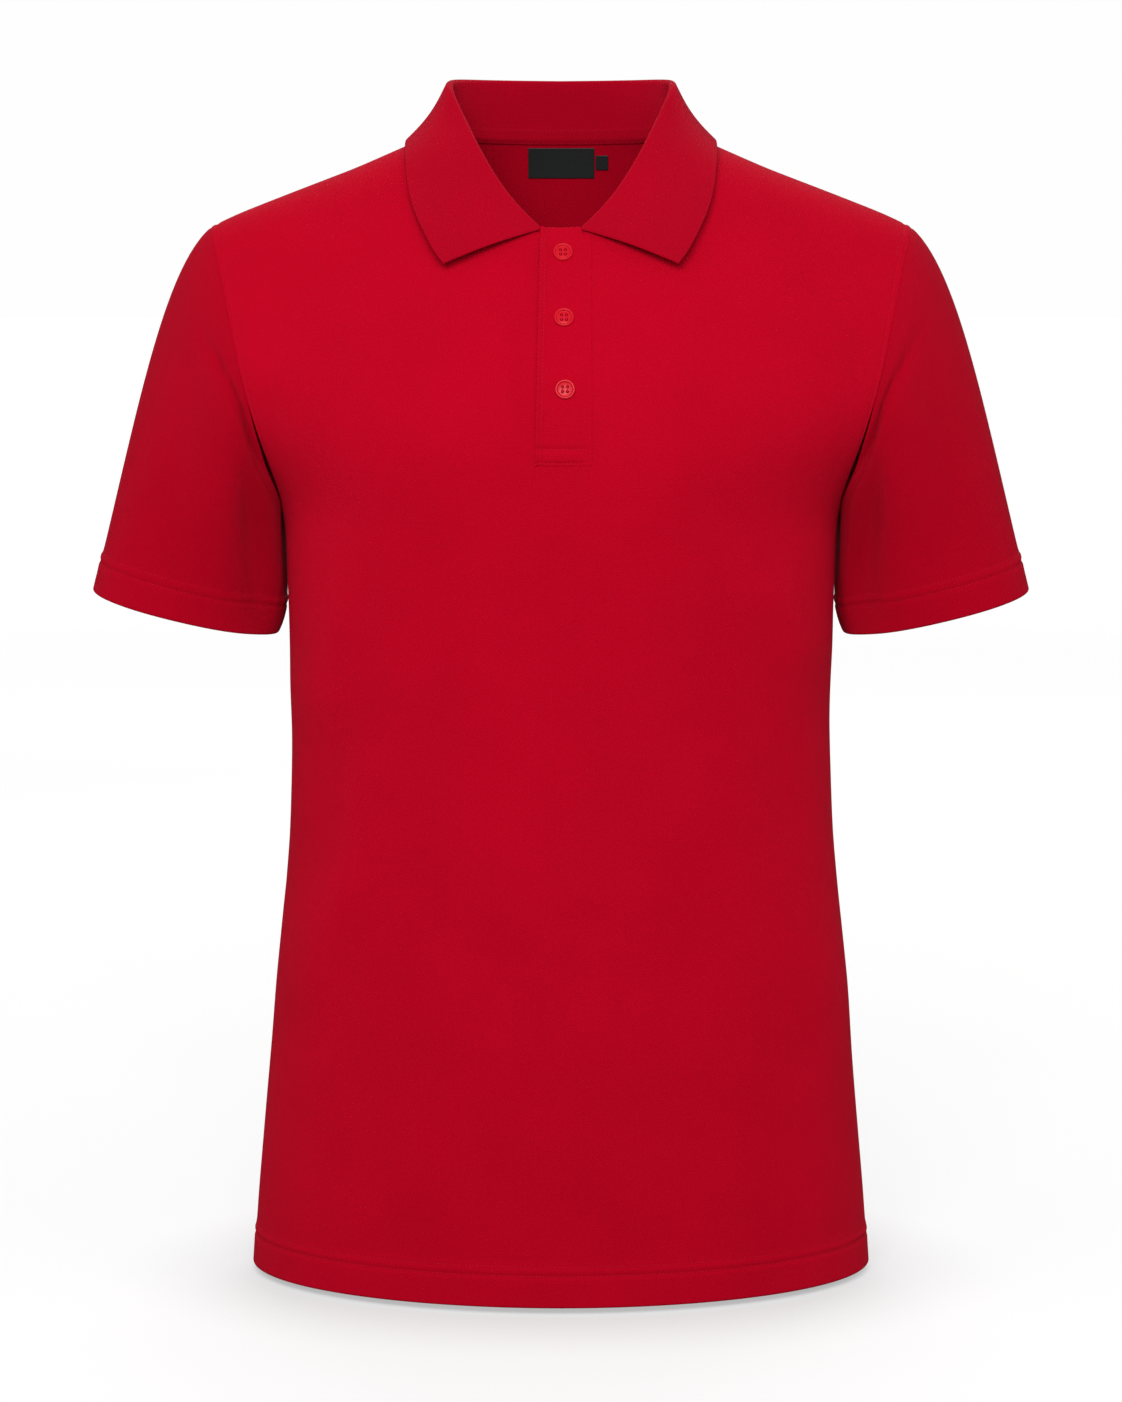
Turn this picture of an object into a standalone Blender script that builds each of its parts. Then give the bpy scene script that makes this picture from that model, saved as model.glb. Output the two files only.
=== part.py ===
"""Men's short-sleeved polo shirt, filled out and open at the neck, hem and cuffs.

Metres, +Z up. The front faces -Y and +X is the wearer's left. The origin is level with the
high point of the shoulders, at the middle of the neck. Each cut piece is a thin closed wall.
"""

import math

import bmesh
import bpy
import numpy as np

FRONT = -1
BACK = 1

# ---------------------------------------------------------------- driving dimensions
WALL = 0.0012              # knitted cloth
COLLAR_WALL = 0.0015       # flat-knit collar
GAP = 0.0003               # between two pieces that meet
SEAM_EASE = 0.00016        # each edge keeps this far from its seam's middle plane
HEM_HEIGHT = -0.7136
HEM_FOLD = 0.0270          # depth of the turned body hem
HEM_WALL = 0.0023          # cloth thickness inside a turned hem
HEM_PROUD = 0.0006         # how far a turned hem stands out
HEM_STEP = 0.0015          # over this height the cloth steps out to the turned hem
UNDERARM_HEIGHT = -0.2280
LEVEL_TOP = -0.2600        # below this the rows of the body lie level
NECK_HALF_WIDTH = 0.0800
NECK_ROUNDNESS = 1.3       # power of the neckline's drop
FRONT_NECK_DROP = 0.0600
BACK_NECK_DROP = 0.0030
SHOULDER_TIP = 0.2172      # half width over the shoulder seams
CUFF_FOLD = 0.0260         # depth of the turned sleeve hem
PLACKET_LEFT = -0.0155       # open edge at the placket's foot
PLACKET_LEAN = 0.0029        # how far the open edge comes in towards the top
PLACKET_RIGHT = 0.0183
PLACKET_FOOT = -0.1970
PLACKET_TOP = -0.0614        # under the collar
PLACKET_TAB = -0.0564        # between the collar's ends
TAB_FOOT_HALF = 0.0114
TAB_TOP_HALF = 0.0100
PLACKET_WALL = 0.0014
SLIT_HALF_WIDTH = 0.0100
SLIT_FOOT = -0.1850
UNDER_HALF_WIDTH = 0.0165
COLLAR_END = 0.0118        # half gap between the collar's two ends
ROLL_RADIUS = 0.0019       # middle of the cloth round the collar's fold
TAPE_ABOVE = 0.0062        # of the tape's width, above the neck seam
TAPE_BELOW = 0.0030
TAPE_WALL = 0.0010
LABEL_WALL = 0.0010
BUTTON_RADIUS = 0.0059
BUTTON_HEIGHT = 0.0026
BUTTON_SIDES = 20

# Columns and rows of each grid.
NECK_COLUMNS = 6
SHOULDER_COLUMNS = 9
HALF_COLUMNS = NECK_COLUMNS + SHOULDER_COLUMNS
LEVEL_ROWS = 13
ARMHOLE_ROWS = 11
UPPER_ROWS = ARMHOLE_ROWS + 1
SLIT_ROW = 4               # row of the upper grid at the slit's foot
SLEEVE_ROWS = 10
STAND_ROWS = 4
ROLL_STEPS = 4
LEAF_ROWS = 5

# Share of the level line's half length at the columns below the neck point and below the
# middle of the shoulder.
NECK_LEVEL_SHARE = 0.36
SHOULDER_LEVEL_SHARE = 0.68
PATCH_MARGIN = 0.002       # a patch has no row or column nearer its edge than this

# How far each table's corners are rounded off.
TORSO_SOFTNESS = 0.010
SHOULDER_SOFTNESS = 0.006
ARMHOLE_SOFTNESS = 0.004
TIP_REACH = 0.010          # the armhole bends to the shoulder tip over this height
EDGE_DEPTH = 0.0005        # nearer the middle plane than this, a point is on a side or top edge

# The body's level sections.
TORSO_NAMES = ("height", "half_width", "front_depth", "back_depth", "roundness")
TORSO = (
    (-0.7136, 0.1962, 0.1188, 0.1150, 1.95),
    (-0.6700, 0.1932, 0.1168, 0.1125, 1.97),
    (-0.6000, 0.1868, 0.1138, 0.1070, 2.00),
    (-0.5150, 0.1784, 0.1112, 0.0985, 2.05),
    (-0.4390, 0.1716, 0.1100, 0.0915, 2.10),
    (-0.3630, 0.1688, 0.1112, 0.0930, 2.15),
    (-0.3000, 0.1704, 0.1165, 0.1015, 2.20),
    (-0.2550, 0.1720, 0.1222, 0.1100, 2.18),
    (-0.2280, 0.1730, 0.1243, 0.1140, 2.12),
    (-0.2075, 0.1880, 0.1250, 0.1165, 2.08),
    (-0.1770, 0.2200, 0.1242, 0.1185, 2.03),
    (-0.1500, 0.2440, 0.1220, 0.1190, 2.00),
    (-0.1200, 0.2540, 0.1165, 0.1185, 2.00),
    (-0.0800, 0.2570, 0.1080, 0.1170, 2.00),
    (-0.0400, 0.2575, 0.1020, 0.1150, 2.00),
    (0.0000, 0.2575, 0.0980, 0.1130, 2.00),
)

# The shoulder's top edge, as far as it would run, and how full the cloth rolls over it.
SHOULDER_NAMES = ("across", "front_edge", "back_edge", "roll")
SHOULDER = (
    (0.0000, 0.0020, 0.0450, 1.60),
    (0.0200, 0.0023, 0.0405, 1.60),
    (0.0400, 0.0029, 0.0290, 1.60),
    (0.0650, 0.0026, 0.0095, 1.62),
    (0.0800, 0.0006, 0.0006, 1.65),
    (0.0958, -0.0062, -0.0062, 1.68),
    (0.1268, -0.0198, -0.0198, 1.75),
    (0.1648, -0.0343, -0.0343, 1.82),
    (0.2009, -0.0484, -0.0484, 1.90),
    (0.2172, -0.0562, -0.0562, 1.95),
    (0.2400, -0.0700, -0.0700, 1.95),
)
ROLL_START = {FRONT: -0.200, BACK: -0.180}  # height where each panel starts to roll over

# Armhole seam, from the underarm to the shoulder tip.
ARMHOLE_NAMES = ("height", "front_across", "back_across")
ARMHOLE = (
    (-0.2280, 0.1730, 0.1730),
    (-0.2200, 0.1742, 0.1746),
    (-0.2075, 0.1774, 0.1785),
    (-0.1768, 0.1866, 0.1890),
    (-0.1512, 0.1936, 0.1968),
    (-0.1308, 0.1982, 0.2012),
    (-0.1067, 0.2036, 0.2060),
    (-0.0803, 0.2098, 0.2112),
    (-0.0640, 0.2148, 0.2150),
    (-0.0554, 0.2172, 0.2172),
)

# Long soft folds, each along a line on one panel. A ridge has a positive height.
FOLD_FADE = 4.0            # how fast a fold dies out past its ends
FOLD_CORE = 0.35           # half of its length, as a share, that keeps its full height
FOLD_NAMES = ("side", "top_x", "top_z", "foot_x", "foot_z", "half_width", "height")
FOLDS = (
    (FRONT, -0.128, -0.262, -0.158, -0.372, 0.017, 0.0022),
    (FRONT, -0.138, -0.360, -0.160, -0.480, 0.016, -0.0020),
    (FRONT, -0.128, -0.430, -0.168, -0.560, 0.018, 0.0020),
    (FRONT, 0.126, -0.258, 0.156, -0.335, 0.016, 0.0020),
    (FRONT, 0.124, -0.350, 0.162, -0.500, 0.017, -0.0020),
    (FRONT, 0.148, -0.410, 0.176, -0.580, 0.018, 0.0018),
    (BACK, -0.120, -0.270, -0.150, -0.395, 0.018, 0.0024),
    (BACK, -0.092, -0.330, -0.135, -0.500, 0.020, -0.0024),
    (BACK, 0.118, -0.262, 0.152, -0.380, 0.018, 0.0024),
    (BACK, 0.096, -0.345, 0.132, -0.520, 0.020, -0.0022),
)

# The sleeve's cuff, and the way its cloth leaves the armhole (turn 0 at the shoulder tip,
# 1 at the underarm) and comes in to the cuff.
CUFF_OUTER = (0.2925, -0.2822)
CUFF_INNER = (0.1797, -0.3118)
CUFF_OUTER_Y = -0.0040
CUFF_INNER_Y = 0.0190        # the inner end hangs behind the body's side
CUFF_HALF_DEPTH = 0.0485
CUFF_FRONT_DROP = 0.0025
CUFF_ROUNDNESS = 2.15
APART_TURNS = (0.45, 0.85)  # where the sleeve changes from beside the body to outside it
OWN_TURNS = (0.35, 0.70)   # where its edge changes from the body's face to its own
FLOW_NAMES = ("turn", "start_x", "start_y", "start_z", "start_length", "end_x", "end_length")
FLOW = (
    (0.00, 0.770, 0.000, -0.640, 0.040, 0.250, 0.110),
    (0.25, 0.680, -0.130, -0.720, 0.040, 0.250, 0.085),
    (0.50, 0.360, -0.100, -0.930, 0.050, 0.270, 0.055),
    (0.75, 0.200, 0.000, -0.980, 0.030, 0.330, 0.036),
    (1.00, 0.000, 0.000, -1.000, 0.030, 0.520, 0.025),
)
UNDERARM_BACK = 0.45       # how far the underarm's cloth sets off backwards
BACK_TURNS = (0.60, 1.00)  # where it starts to

# Collar, from the middle of the back to the front end, on the wearer's left: the fold's
# crest, the leaf's edge and how far the leaf bows out between them.
COLLAR_NAMES = ("share", "fold_x", "fold_y", "fold_z", "edge_x", "edge_y", "edge_z", "bow")
COLLAR = (
    (0.00, 0.0000, 0.0590, 0.0346, 0.0000, 0.0790, -0.0120, 0.0015),
    (0.14, 0.0270, 0.0555, 0.0348, 0.0380, 0.0720, -0.0115, 0.0015),
    (0.28, 0.0500, 0.0410, 0.0349, 0.0700, 0.0500, -0.0090, 0.0010),
    (0.40, 0.0658, 0.0200, 0.0345, 0.0890, 0.0240, -0.0050, -0.0010),
    (0.50, 0.0690, 0.0000, 0.0300, 0.0955, -0.0020, -0.0034, -0.0020),
    (0.62, 0.0605, -0.0200, 0.0113, 0.0952, -0.0330, -0.0165, 0.0010),
    (0.74, 0.0516, -0.0365, -0.0059, 0.0912, -0.0580, -0.0395, 0.0025),
    (0.86, 0.0356, -0.0540, -0.0314, 0.0822, -0.0775, -0.0600, 0.0030),
    (0.93, 0.0245, -0.0620, -0.0445, 0.0765, -0.0855, -0.0700, 0.0030),
    (1.00, 0.0118, -0.0690, -0.0567, 0.0706, -0.0915, -0.0776, 0.0025),
)

LABEL_NAMES = ("left", "right", "top", "bottom")
LABELS = {
    "label": (-0.0212, 0.0216, -0.0063, -0.0253),
    "size_tab": (0.0224, 0.0305, -0.0110, -0.0201),
}
BUTTON_PLACES = {  # across, height
    "button_1": (0.0012, -0.0721),
    "button_2": (0.0018, -0.1105),
    "button_3": (0.0024, -0.1523),
}
BUTTON_PROFILE = (  # share of the radius, share of the height
    (0.00, 0.62), (0.55, 0.62), (0.70, 0.72), (0.80, 1.00), (0.93, 1.00),
    (1.00, 0.78), (1.00, 0.30), (0.90, 0.00), (0.00, 0.00),
)

RED = (0.50, 0.004, 0.018, 1.0)
BUTTON_RED = (0.60, 0.010, 0.030, 1.0)
BLACK = (0.022, 0.023, 0.022, 1.0)


# ---------------------------------------------------------------- curves from tables
def column(table, names, name):
    return np.array([row[names.index(name)] for row in table], dtype=float)


def ease(value, start, end):
    """0 up to start, 1 from end, and smooth between."""
    t = np.clip((value - start) / (end - start), 0.0, 1.0)
    return t * t * (3.0 - 2.0 * t)


class SoftCurve:
    """A rounded curve through a few values: straight runs, averaged three times."""

    STEP = 0.0005

    def __init__(self, keys, values, softness):
        reach = 4 * softness
        self.keys = np.arange(keys[0] - reach, keys[-1] + reach, self.STEP)
        dense = np.interp(self.keys, keys, values)
        dense += np.minimum(self.keys - keys[0], 0) * (values[1] - values[0]) / (keys[1] - keys[0])
        dense += np.maximum(self.keys - keys[-1], 0) * (values[-1] - values[-2]) / (keys[-1] - keys[-2])
        half = int(softness / self.STEP)
        box = np.ones(2 * half + 1) / (2 * half + 1)
        for _ in range(3):
            dense = np.convolve(np.pad(dense, half, mode="reflect", reflect_type="odd"), box, "valid")
        self.values = dense

    def __call__(self, at):
        return np.interp(at, self.keys, self.values)


def natural_curve(keys, values):
    """Natural cubic through a few values."""
    count = len(keys)
    gaps = np.diff(keys)
    slopes = np.diff(values) / gaps
    matrix = np.eye(count)
    right = np.zeros(count)
    for i in range(1, count - 1):
        matrix[i, i - 1:i + 2] = gaps[i - 1], 2 * (gaps[i - 1] + gaps[i]), gaps[i]
        right[i] = 6 * (slopes[i] - slopes[i - 1])
    bend = np.linalg.solve(matrix, right)

    def curve(at):
        i = np.clip(np.searchsorted(keys, at) - 1, 0, count - 2)
        a = (keys[i + 1] - at) / gaps[i]
        b = (at - keys[i]) / gaps[i]
        cubic = (a ** 3 - a) * bend[i] + (b ** 3 - b) * bend[i + 1]
        return a * values[i] + b * values[i + 1] + cubic * gaps[i] ** 2 / 6

    return curve


def torso_curve(name):
    height = column(TORSO, TORSO_NAMES, "height")
    return SoftCurve(height, column(TORSO, TORSO_NAMES, name), TORSO_SOFTNESS)


def shoulder_curve(name):
    across = column(SHOULDER, SHOULDER_NAMES, "across")
    values = column(SHOULDER, SHOULDER_NAMES, name)
    both = np.concatenate([-across[:0:-1], across])
    return SoftCurve(both, np.concatenate([values[:0:-1], values]), SHOULDER_SOFTNESS)


def armhole_curve(name):
    height = column(ARMHOLE, ARMHOLE_NAMES, "height")
    return SoftCurve(height, column(ARMHOLE, ARMHOLE_NAMES, name), ARMHOLE_SOFTNESS)


HALF_WIDTH = torso_curve("half_width")
DEPTH = {FRONT: torso_curve("front_depth"), BACK: torso_curve("back_depth")}
ROUNDNESS = torso_curve("roundness")
SHOULDER_EDGE = {FRONT: shoulder_curve("front_edge"), BACK: shoulder_curve("back_edge")}
ROLL = shoulder_curve("roll")
ARMHOLE_ACROSS = {FRONT: armhole_curve("front_across"), BACK: armhole_curve("back_across")}


def unit(vectors):
    return vectors / np.linalg.norm(vectors, axis=-1, keepdims=True)


def resample(points, shares):
    """Points at the given shares of a curve's length."""
    length = np.concatenate([[0.0], np.cumsum(np.linalg.norm(np.diff(points, axis=0), axis=1))])
    at = np.asarray(shares) * length[-1]
    return np.stack([np.interp(at, length, points[:, axis]) for axis in range(3)], axis=1)


# ---------------------------------------------------------------- the body's form
def body_depth(side, x, z):
    """How far the body's outer face lies from the middle plane."""
    across = np.clip(np.abs(x) / HALF_WIDTH(z), 0.0, 1.0)
    roundness = ROUNDNESS(z)
    section = (1.0 - across ** roundness) ** (1.0 / roundness)
    start = ROLL_START[side]
    rise = np.clip((z - start) / (SHOULDER_EDGE[side](x) - start), 0.0, 1.0)
    return DEPTH[side](z) * section * (1.0 - rise ** 2) ** (1.0 / ROLL(x))


def body_points(side, x, z):
    return np.stack([x, side * body_depth(side, x, z), z], axis=-1)


def body_normals(side, points):
    """Unit outward normals of the body's form at points on it."""
    step = 0.00002
    x = points[..., 0]
    z = points[..., 2]
    depth = np.abs(points[..., 1])
    slope_x = (body_depth(side, x + step, z) - body_depth(side, x - step, z)) / (2 * step)
    slope_z = (body_depth(side, x, z + step) - body_depth(side, x, z - step)) / (2 * step)
    normals = np.stack([-slope_x, np.full_like(x, side), -slope_z], axis=-1)
    sign = np.sign(x)
    top_slope = (SHOULDER_EDGE[side](x + step) - SHOULDER_EDGE[side](x - step)) / (2 * step)
    top = np.stack([-top_slope, np.zeros_like(x), np.ones_like(x)], axis=-1)
    side_slope = (HALF_WIDTH(z + step) - HALF_WIDTH(z - step)) / (2 * step)
    flank = np.stack([sign, np.zeros_like(x), -side_slope], axis=-1)
    at_edge = depth < EDGE_DEPTH
    at_top = at_edge & (z > UNDERARM_HEIGHT / 2)
    normals = np.where(at_top[..., None], top, normals)
    normals = np.where((at_edge & ~at_top)[..., None], flank, normals)
    return unit(normals)


def fold_height(side, x, z):
    """Height of the long soft folds at points of a panel."""
    total = np.zeros_like(x)
    for row in FOLDS:
        fold = dict(zip(FOLD_NAMES, row))
        if fold["side"] != side:
            continue
        run_x = fold["foot_x"] - fold["top_x"]
        run_z = fold["foot_z"] - fold["top_z"]
        length = math.hypot(run_x, run_z)
        from_x = x - fold["top_x"]
        from_z = z - fold["top_z"]
        along = (from_x * run_x + from_z * run_z) / length ** 2
        off = (from_x * run_z - from_z * run_x) / length
        beyond = np.maximum(0.0, np.abs(along - 0.5) * 2.0 - FOLD_CORE)
        fade = FOLD_FADE * beyond ** 2 + (off / fold["half_width"]) ** 2
        total = total + fold["height"] * np.exp(-fade)
    return total


# ---------------------------------------------------------------- seams that pieces share
def neck_seam(side):
    """Dense neckline points from the middle to the high point of the shoulder."""
    turn = np.linspace(0.0, math.pi / 2, 400)
    drop = FRONT_NECK_DROP if side == FRONT else BACK_NECK_DROP
    x = NECK_HALF_WIDTH * np.sin(turn)
    z = SHOULDER_EDGE[side](NECK_HALF_WIDTH) - drop * np.cos(turn) ** NECK_ROUNDNESS
    return body_points(side, x, z)


def neck_marks(side):
    """Neckline points where the columns end. The front has one at the slit's edge."""
    seam = neck_seam(side)
    if side == BACK:
        return resample(seam, np.linspace(0.0, 1.0, NECK_COLUMNS + 1))
    length = np.concatenate([[0.0], np.cumsum(np.linalg.norm(np.diff(seam, axis=0), axis=1))])
    slit = np.interp(SLIT_HALF_WIDTH, seam[:, 0], length) / length[-1]
    return resample(seam, np.concatenate([[0.0], np.linspace(slit, 1.0, NECK_COLUMNS)]))


def armhole_marks(side):
    """Armhole points where the rows end, from the shoulder tip to the underarm."""
    tip = SHOULDER_EDGE[side](SHOULDER_TIP)
    turn = np.linspace(0.0, math.pi, 600)
    z = UNDERARM_HEIGHT + (tip - UNDERARM_HEIGHT) * (1 + np.cos(turn)) / 2
    x = ARMHOLE_ACROSS[side](z)
    x += (SHOULDER_TIP - x[0]) * np.exp((z - z[0]) / TIP_REACH)
    x = np.minimum(x, HALF_WIDTH(z))
    x[-1] = HALF_WIDTH(z[-1])
    return resample(body_points(side, x, z), np.linspace(0.0, 1.0, ARMHOLE_ROWS + 1))


def column_tops(side):
    """Top ends of a half panel's columns, along the neckline and the shoulder seam."""
    across = np.linspace(NECK_HALF_WIDTH, SHOULDER_TIP, SHOULDER_COLUMNS + 1)
    shoulder = np.stack([across, np.zeros_like(across), SHOULDER_EDGE[side](across)], axis=1)
    return np.concatenate([neck_marks(side)[:-1], shoulder])


# ---------------------------------------------------------------- front and back
def level_shares(side):
    """Where each column crosses the level line, as a share of the half width. The columns
    lie closer together towards the side seam."""
    turn = np.linspace(0.0, math.pi / 2, 400)
    power = 2 / ROUNDNESS(LEVEL_TOP)
    x = np.sin(turn) ** power
    y = np.cos(turn) ** power
    steps = np.hypot(np.diff(x) * HALF_WIDTH(LEVEL_TOP), np.diff(y) * DEPTH[side](LEVEL_TOP))
    length = np.concatenate([[0.0], np.cumsum(steps)]) / steps.sum()
    ends = [0, NECK_COLUMNS, NECK_COLUMNS + SHOULDER_COLUMNS // 2, HALF_COLUMNS]
    levels = [0.0, NECK_LEVEL_SHARE, SHOULDER_LEVEL_SHARE, 1.0]
    share = np.interp(np.interp(np.arange(HALF_COLUMNS + 1), ends, levels), length, x)
    if side == FRONT:
        slit = SLIT_HALF_WIDTH / HALF_WIDTH(LEVEL_TOP)
        share[1:NECK_COLUMNS + 1] = np.linspace(slit, share[NECK_COLUMNS], NECK_COLUMNS)
    return share


def level_heights():
    """Heights of the level rows, the turned hem first."""
    fold_top = HEM_HEIGHT + HEM_FOLD
    rows = np.linspace(fold_top, LEVEL_TOP, LEVEL_ROWS)
    return np.concatenate([[HEM_HEIGHT, fold_top - HEM_STEP], rows])


def lengths(points):
    """Share of a curve's length at each of its points."""
    length = np.concatenate([[0.0], np.cumsum(np.linalg.norm(np.diff(points, axis=0), axis=1))])
    return length / length[-1]


def centre_edge(side):
    """Dense centre line from the level line up to the neckline, and its rows' shares. On
    the front one of the rows is the slit's foot."""
    z = np.linspace(LEVEL_TOP, neck_marks(side)[0, 2], 300)
    line = body_points(side, np.zeros_like(z), z)
    if side == BACK:
        return line, np.linspace(0.0, 1.0, UPPER_ROWS + 1)
    foot = np.interp(SLIT_FOOT, z, lengths(line))
    below = np.linspace(0.0, foot, SLIT_ROW + 1)[:-1]
    return line, np.concatenate([below, np.linspace(foot, 1.0, UPPER_ROWS + 1 - SLIT_ROW)])


def side_edge(side):
    """The panel's side edge from the level line to the underarm and round the armhole to
    the shoulder tip, and its rows' shares."""
    marks = armhole_marks(side)[::-1]
    start = body_points(side, HALF_WIDTH(LEVEL_TOP), LEVEL_TOP)
    line = np.concatenate([[start], marks])
    return line, lengths(line)


def half_panel(side):
    """Outer face of a half panel, [column from the centre][row from the hem]. Above the
    level line the columns blend from the centre line to the side edge."""
    tops = column_tops(side)
    shares = level_shares(side)
    heights = level_heights()
    rise = np.linspace(0.0, 1.0, 200)
    centre, centre_rows = centre_edge(side)
    flank, flank_rows = side_edge(side)
    inner = resample(centre, rise)
    outer = resample(flank, rise)
    grid = np.zeros((HALF_COLUMNS + 1, len(heights) + UPPER_ROWS, 3))
    for i, (top, share) in enumerate(zip(tops, shares)):
        grid[i, :len(heights)] = body_points(side, share * HALF_WIDTH(heights), heights)
        u = i / HALF_COLUMNS
        foot = grid[i, len(heights) - 1]
        run = foot + (top - foot) * rise[:, None]
        inner_run = inner[0] + (inner[-1] - inner[0]) * rise[:, None]
        outer_run = outer[0] + (outer[-1] - outer[0]) * rise[:, None]
        dense = run + (1 - u) * (inner - inner_run) + u * (outer - outer_run)
        dense = body_points(side, dense[:, 0], dense[:, 2])
        dense[-1] = top
        rows = centre_rows * (1 - u) + flank_rows * u
        grid[i, len(heights) - 1:] = resample(dense, rows)
    grid[-1, len(heights) - 1:] = flank
    return grid


def panel_grid(side):
    """Outer face of a whole panel and its unit normals."""
    half = half_panel(side)
    grid = np.concatenate([half[:0:-1] * np.array([-1.0, 1.0, 1.0]), half])
    return grid, body_normals(side, grid)


def build_panel(side, name, material):
    grid, normals = panel_grid(side)
    columns, rows = grid.shape[:2]
    middle = columns // 2
    proud, thick = hem_walls(rows, (0, 1))
    grid = grid + normals * fold_height(side, grid[..., 0], grid[..., 2])[..., None]
    outer = grid + normals * proud[None, :, None]
    inner = outer - normals * thick[None, :, None]
    seam = np.zeros((columns, rows), dtype=bool)
    seam[(0, -1), :len(level_heights()) + 1] = True
    for i in range(NECK_COLUMNS, HALF_COLUMNS + 1):
        seam[(middle - i, middle + i), -1] = True
    outer[seam, 1] = side * SEAM_EASE
    inner[seam, 1] = side * SEAM_EASE
    slit_row = len(level_heights()) - 1 + SLIT_ROW

    def is_cloth(i, j):
        return side == BACK or j < slit_row or not middle - 1 <= i <= middle

    return add_solid(name, wall(outer, inner, is_cloth=is_cloth), material)


# ---------------------------------------------------------------- sleeves
def armhole_loop():
    """Closed armhole seam on the wearer's left, with the body's normals: tip, front,
    underarm, back."""
    front = armhole_marks(FRONT)
    back = armhole_marks(BACK)
    loop = np.concatenate([front, back[-2:0:-1]])
    normals = np.concatenate([body_normals(FRONT, front), body_normals(BACK, back[-2:0:-1])])
    return loop, normals


def cuff_point(turn):
    """Point of the cuff's edge at a turn of 0 to 2 round it, from its outer end."""
    outer = np.array([CUFF_OUTER[0], CUFF_OUTER_Y, CUFF_OUTER[1]])
    inner = np.array([CUFF_INNER[0], CUFF_INNER_Y, CUFF_INNER[1]])
    power = 2.0 / CUFF_ROUNDNESS
    cosine = math.cos(math.pi * turn)
    sine = math.sin(math.pi * turn)
    across = math.copysign(abs(cosine) ** power, cosine)
    forward = math.copysign(abs(sine) ** power, sine)
    depth = np.array([0.0, -CUFF_HALF_DEPTH, -CUFF_FRONT_DROP])
    return (outer + inner) / 2 + (outer - inner) / 2 * across + depth * forward


def sleeve_grid():
    """Outer face of the wearer's left sleeve, [place round][row from the armhole], and
    its unit normals."""
    loop, body = armhole_loop()
    count = len(loop)
    keys = column(FLOW, FLOW_NAMES, "turn")
    flow = {name: natural_curve(keys, column(FLOW, FLOW_NAMES, name)) for name in FLOW_NAMES[1:]}
    t = np.linspace(0.0, 1.0, 80)[:, None]
    along = unit(np.roll(loop, -1, axis=0) - np.roll(loop, 1, axis=0))
    off_cloth = np.cross(body, along)
    grid = np.zeros((count, SLEEVE_ROWS + 3, 3))
    for i in range(count):
        turn = 2.0 * i / count
        half_turn = min(turn, 2.0 - turn)
        forward = -1.0 if turn <= 1.0 else 1.0
        start_y = -forward * flow["start_y"](half_turn) + UNDERARM_BACK * ease(half_turn, *BACK_TURNS)
        way = unit(np.array([flow["start_x"](half_turn), start_y, flow["start_z"](half_turn)]))
        lean = flow["end_x"](half_turn)
        come_in = np.array([lean, 0.0, -math.sqrt(1 - lean ** 2)])
        apart = ease(half_turn, *APART_TURNS)
        start = loop[i] + unit(off_cloth[i] * (1 - apart) + body[i] * apart) * (GAP + SEAM_EASE)
        end = cuff_point(turn)
        first = start + way * flow["start_length"](half_turn)
        second = end - come_in * flow["end_length"](half_turn)
        curve = (1 - t) ** 3 * start + 3 * t * (1 - t) ** 2 * first
        curve = curve + 3 * t ** 2 * (1 - t) * second + t ** 3 * end
        length = np.linalg.norm(np.diff(curve, axis=0), axis=1).sum()
        band = 1.0 - CUFF_FOLD / length
        rows = np.linspace(0.0, band - HEM_STEP / length, SLEEVE_ROWS + 1)
        grid[i] = resample(curve, np.concatenate([rows, [band, 1.0]]))
    wrapped = np.concatenate([grid[-1:], grid, grid[:1]])
    normals = np.cross(np.gradient(wrapped, axis=0), np.gradient(wrapped, axis=1))[1:-1]
    normals = unit(normals)
    normals *= np.sign(np.sum(normals[0, 3] * np.array([1.0, 0.0, 0.0])))
    turns = 2.0 * np.arange(count) / count
    own = ease(np.minimum(turns, 2.0 - turns), *OWN_TURNS)[:, None]
    normals[:, 0] = unit(normals[:, 0] * own + body * (1 - own))
    return grid, normals


def build_sleeve(hand, name, material):
    """One sleeve: hand is 1 for the wearer's left and -1 for the wearer's right."""
    grid, normals = sleeve_grid()
    rows = grid.shape[1]
    proud, thick = hem_walls(rows, (rows - 2, rows - 1))
    outer = grid + normals * proud[None, :, None]
    inner = outer - normals * thick[None, :, None]
    flip = np.array([hand, 1.0, 1.0])
    return add_solid(name, wall(outer * flip, inner * flip, closed=True), material)


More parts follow.
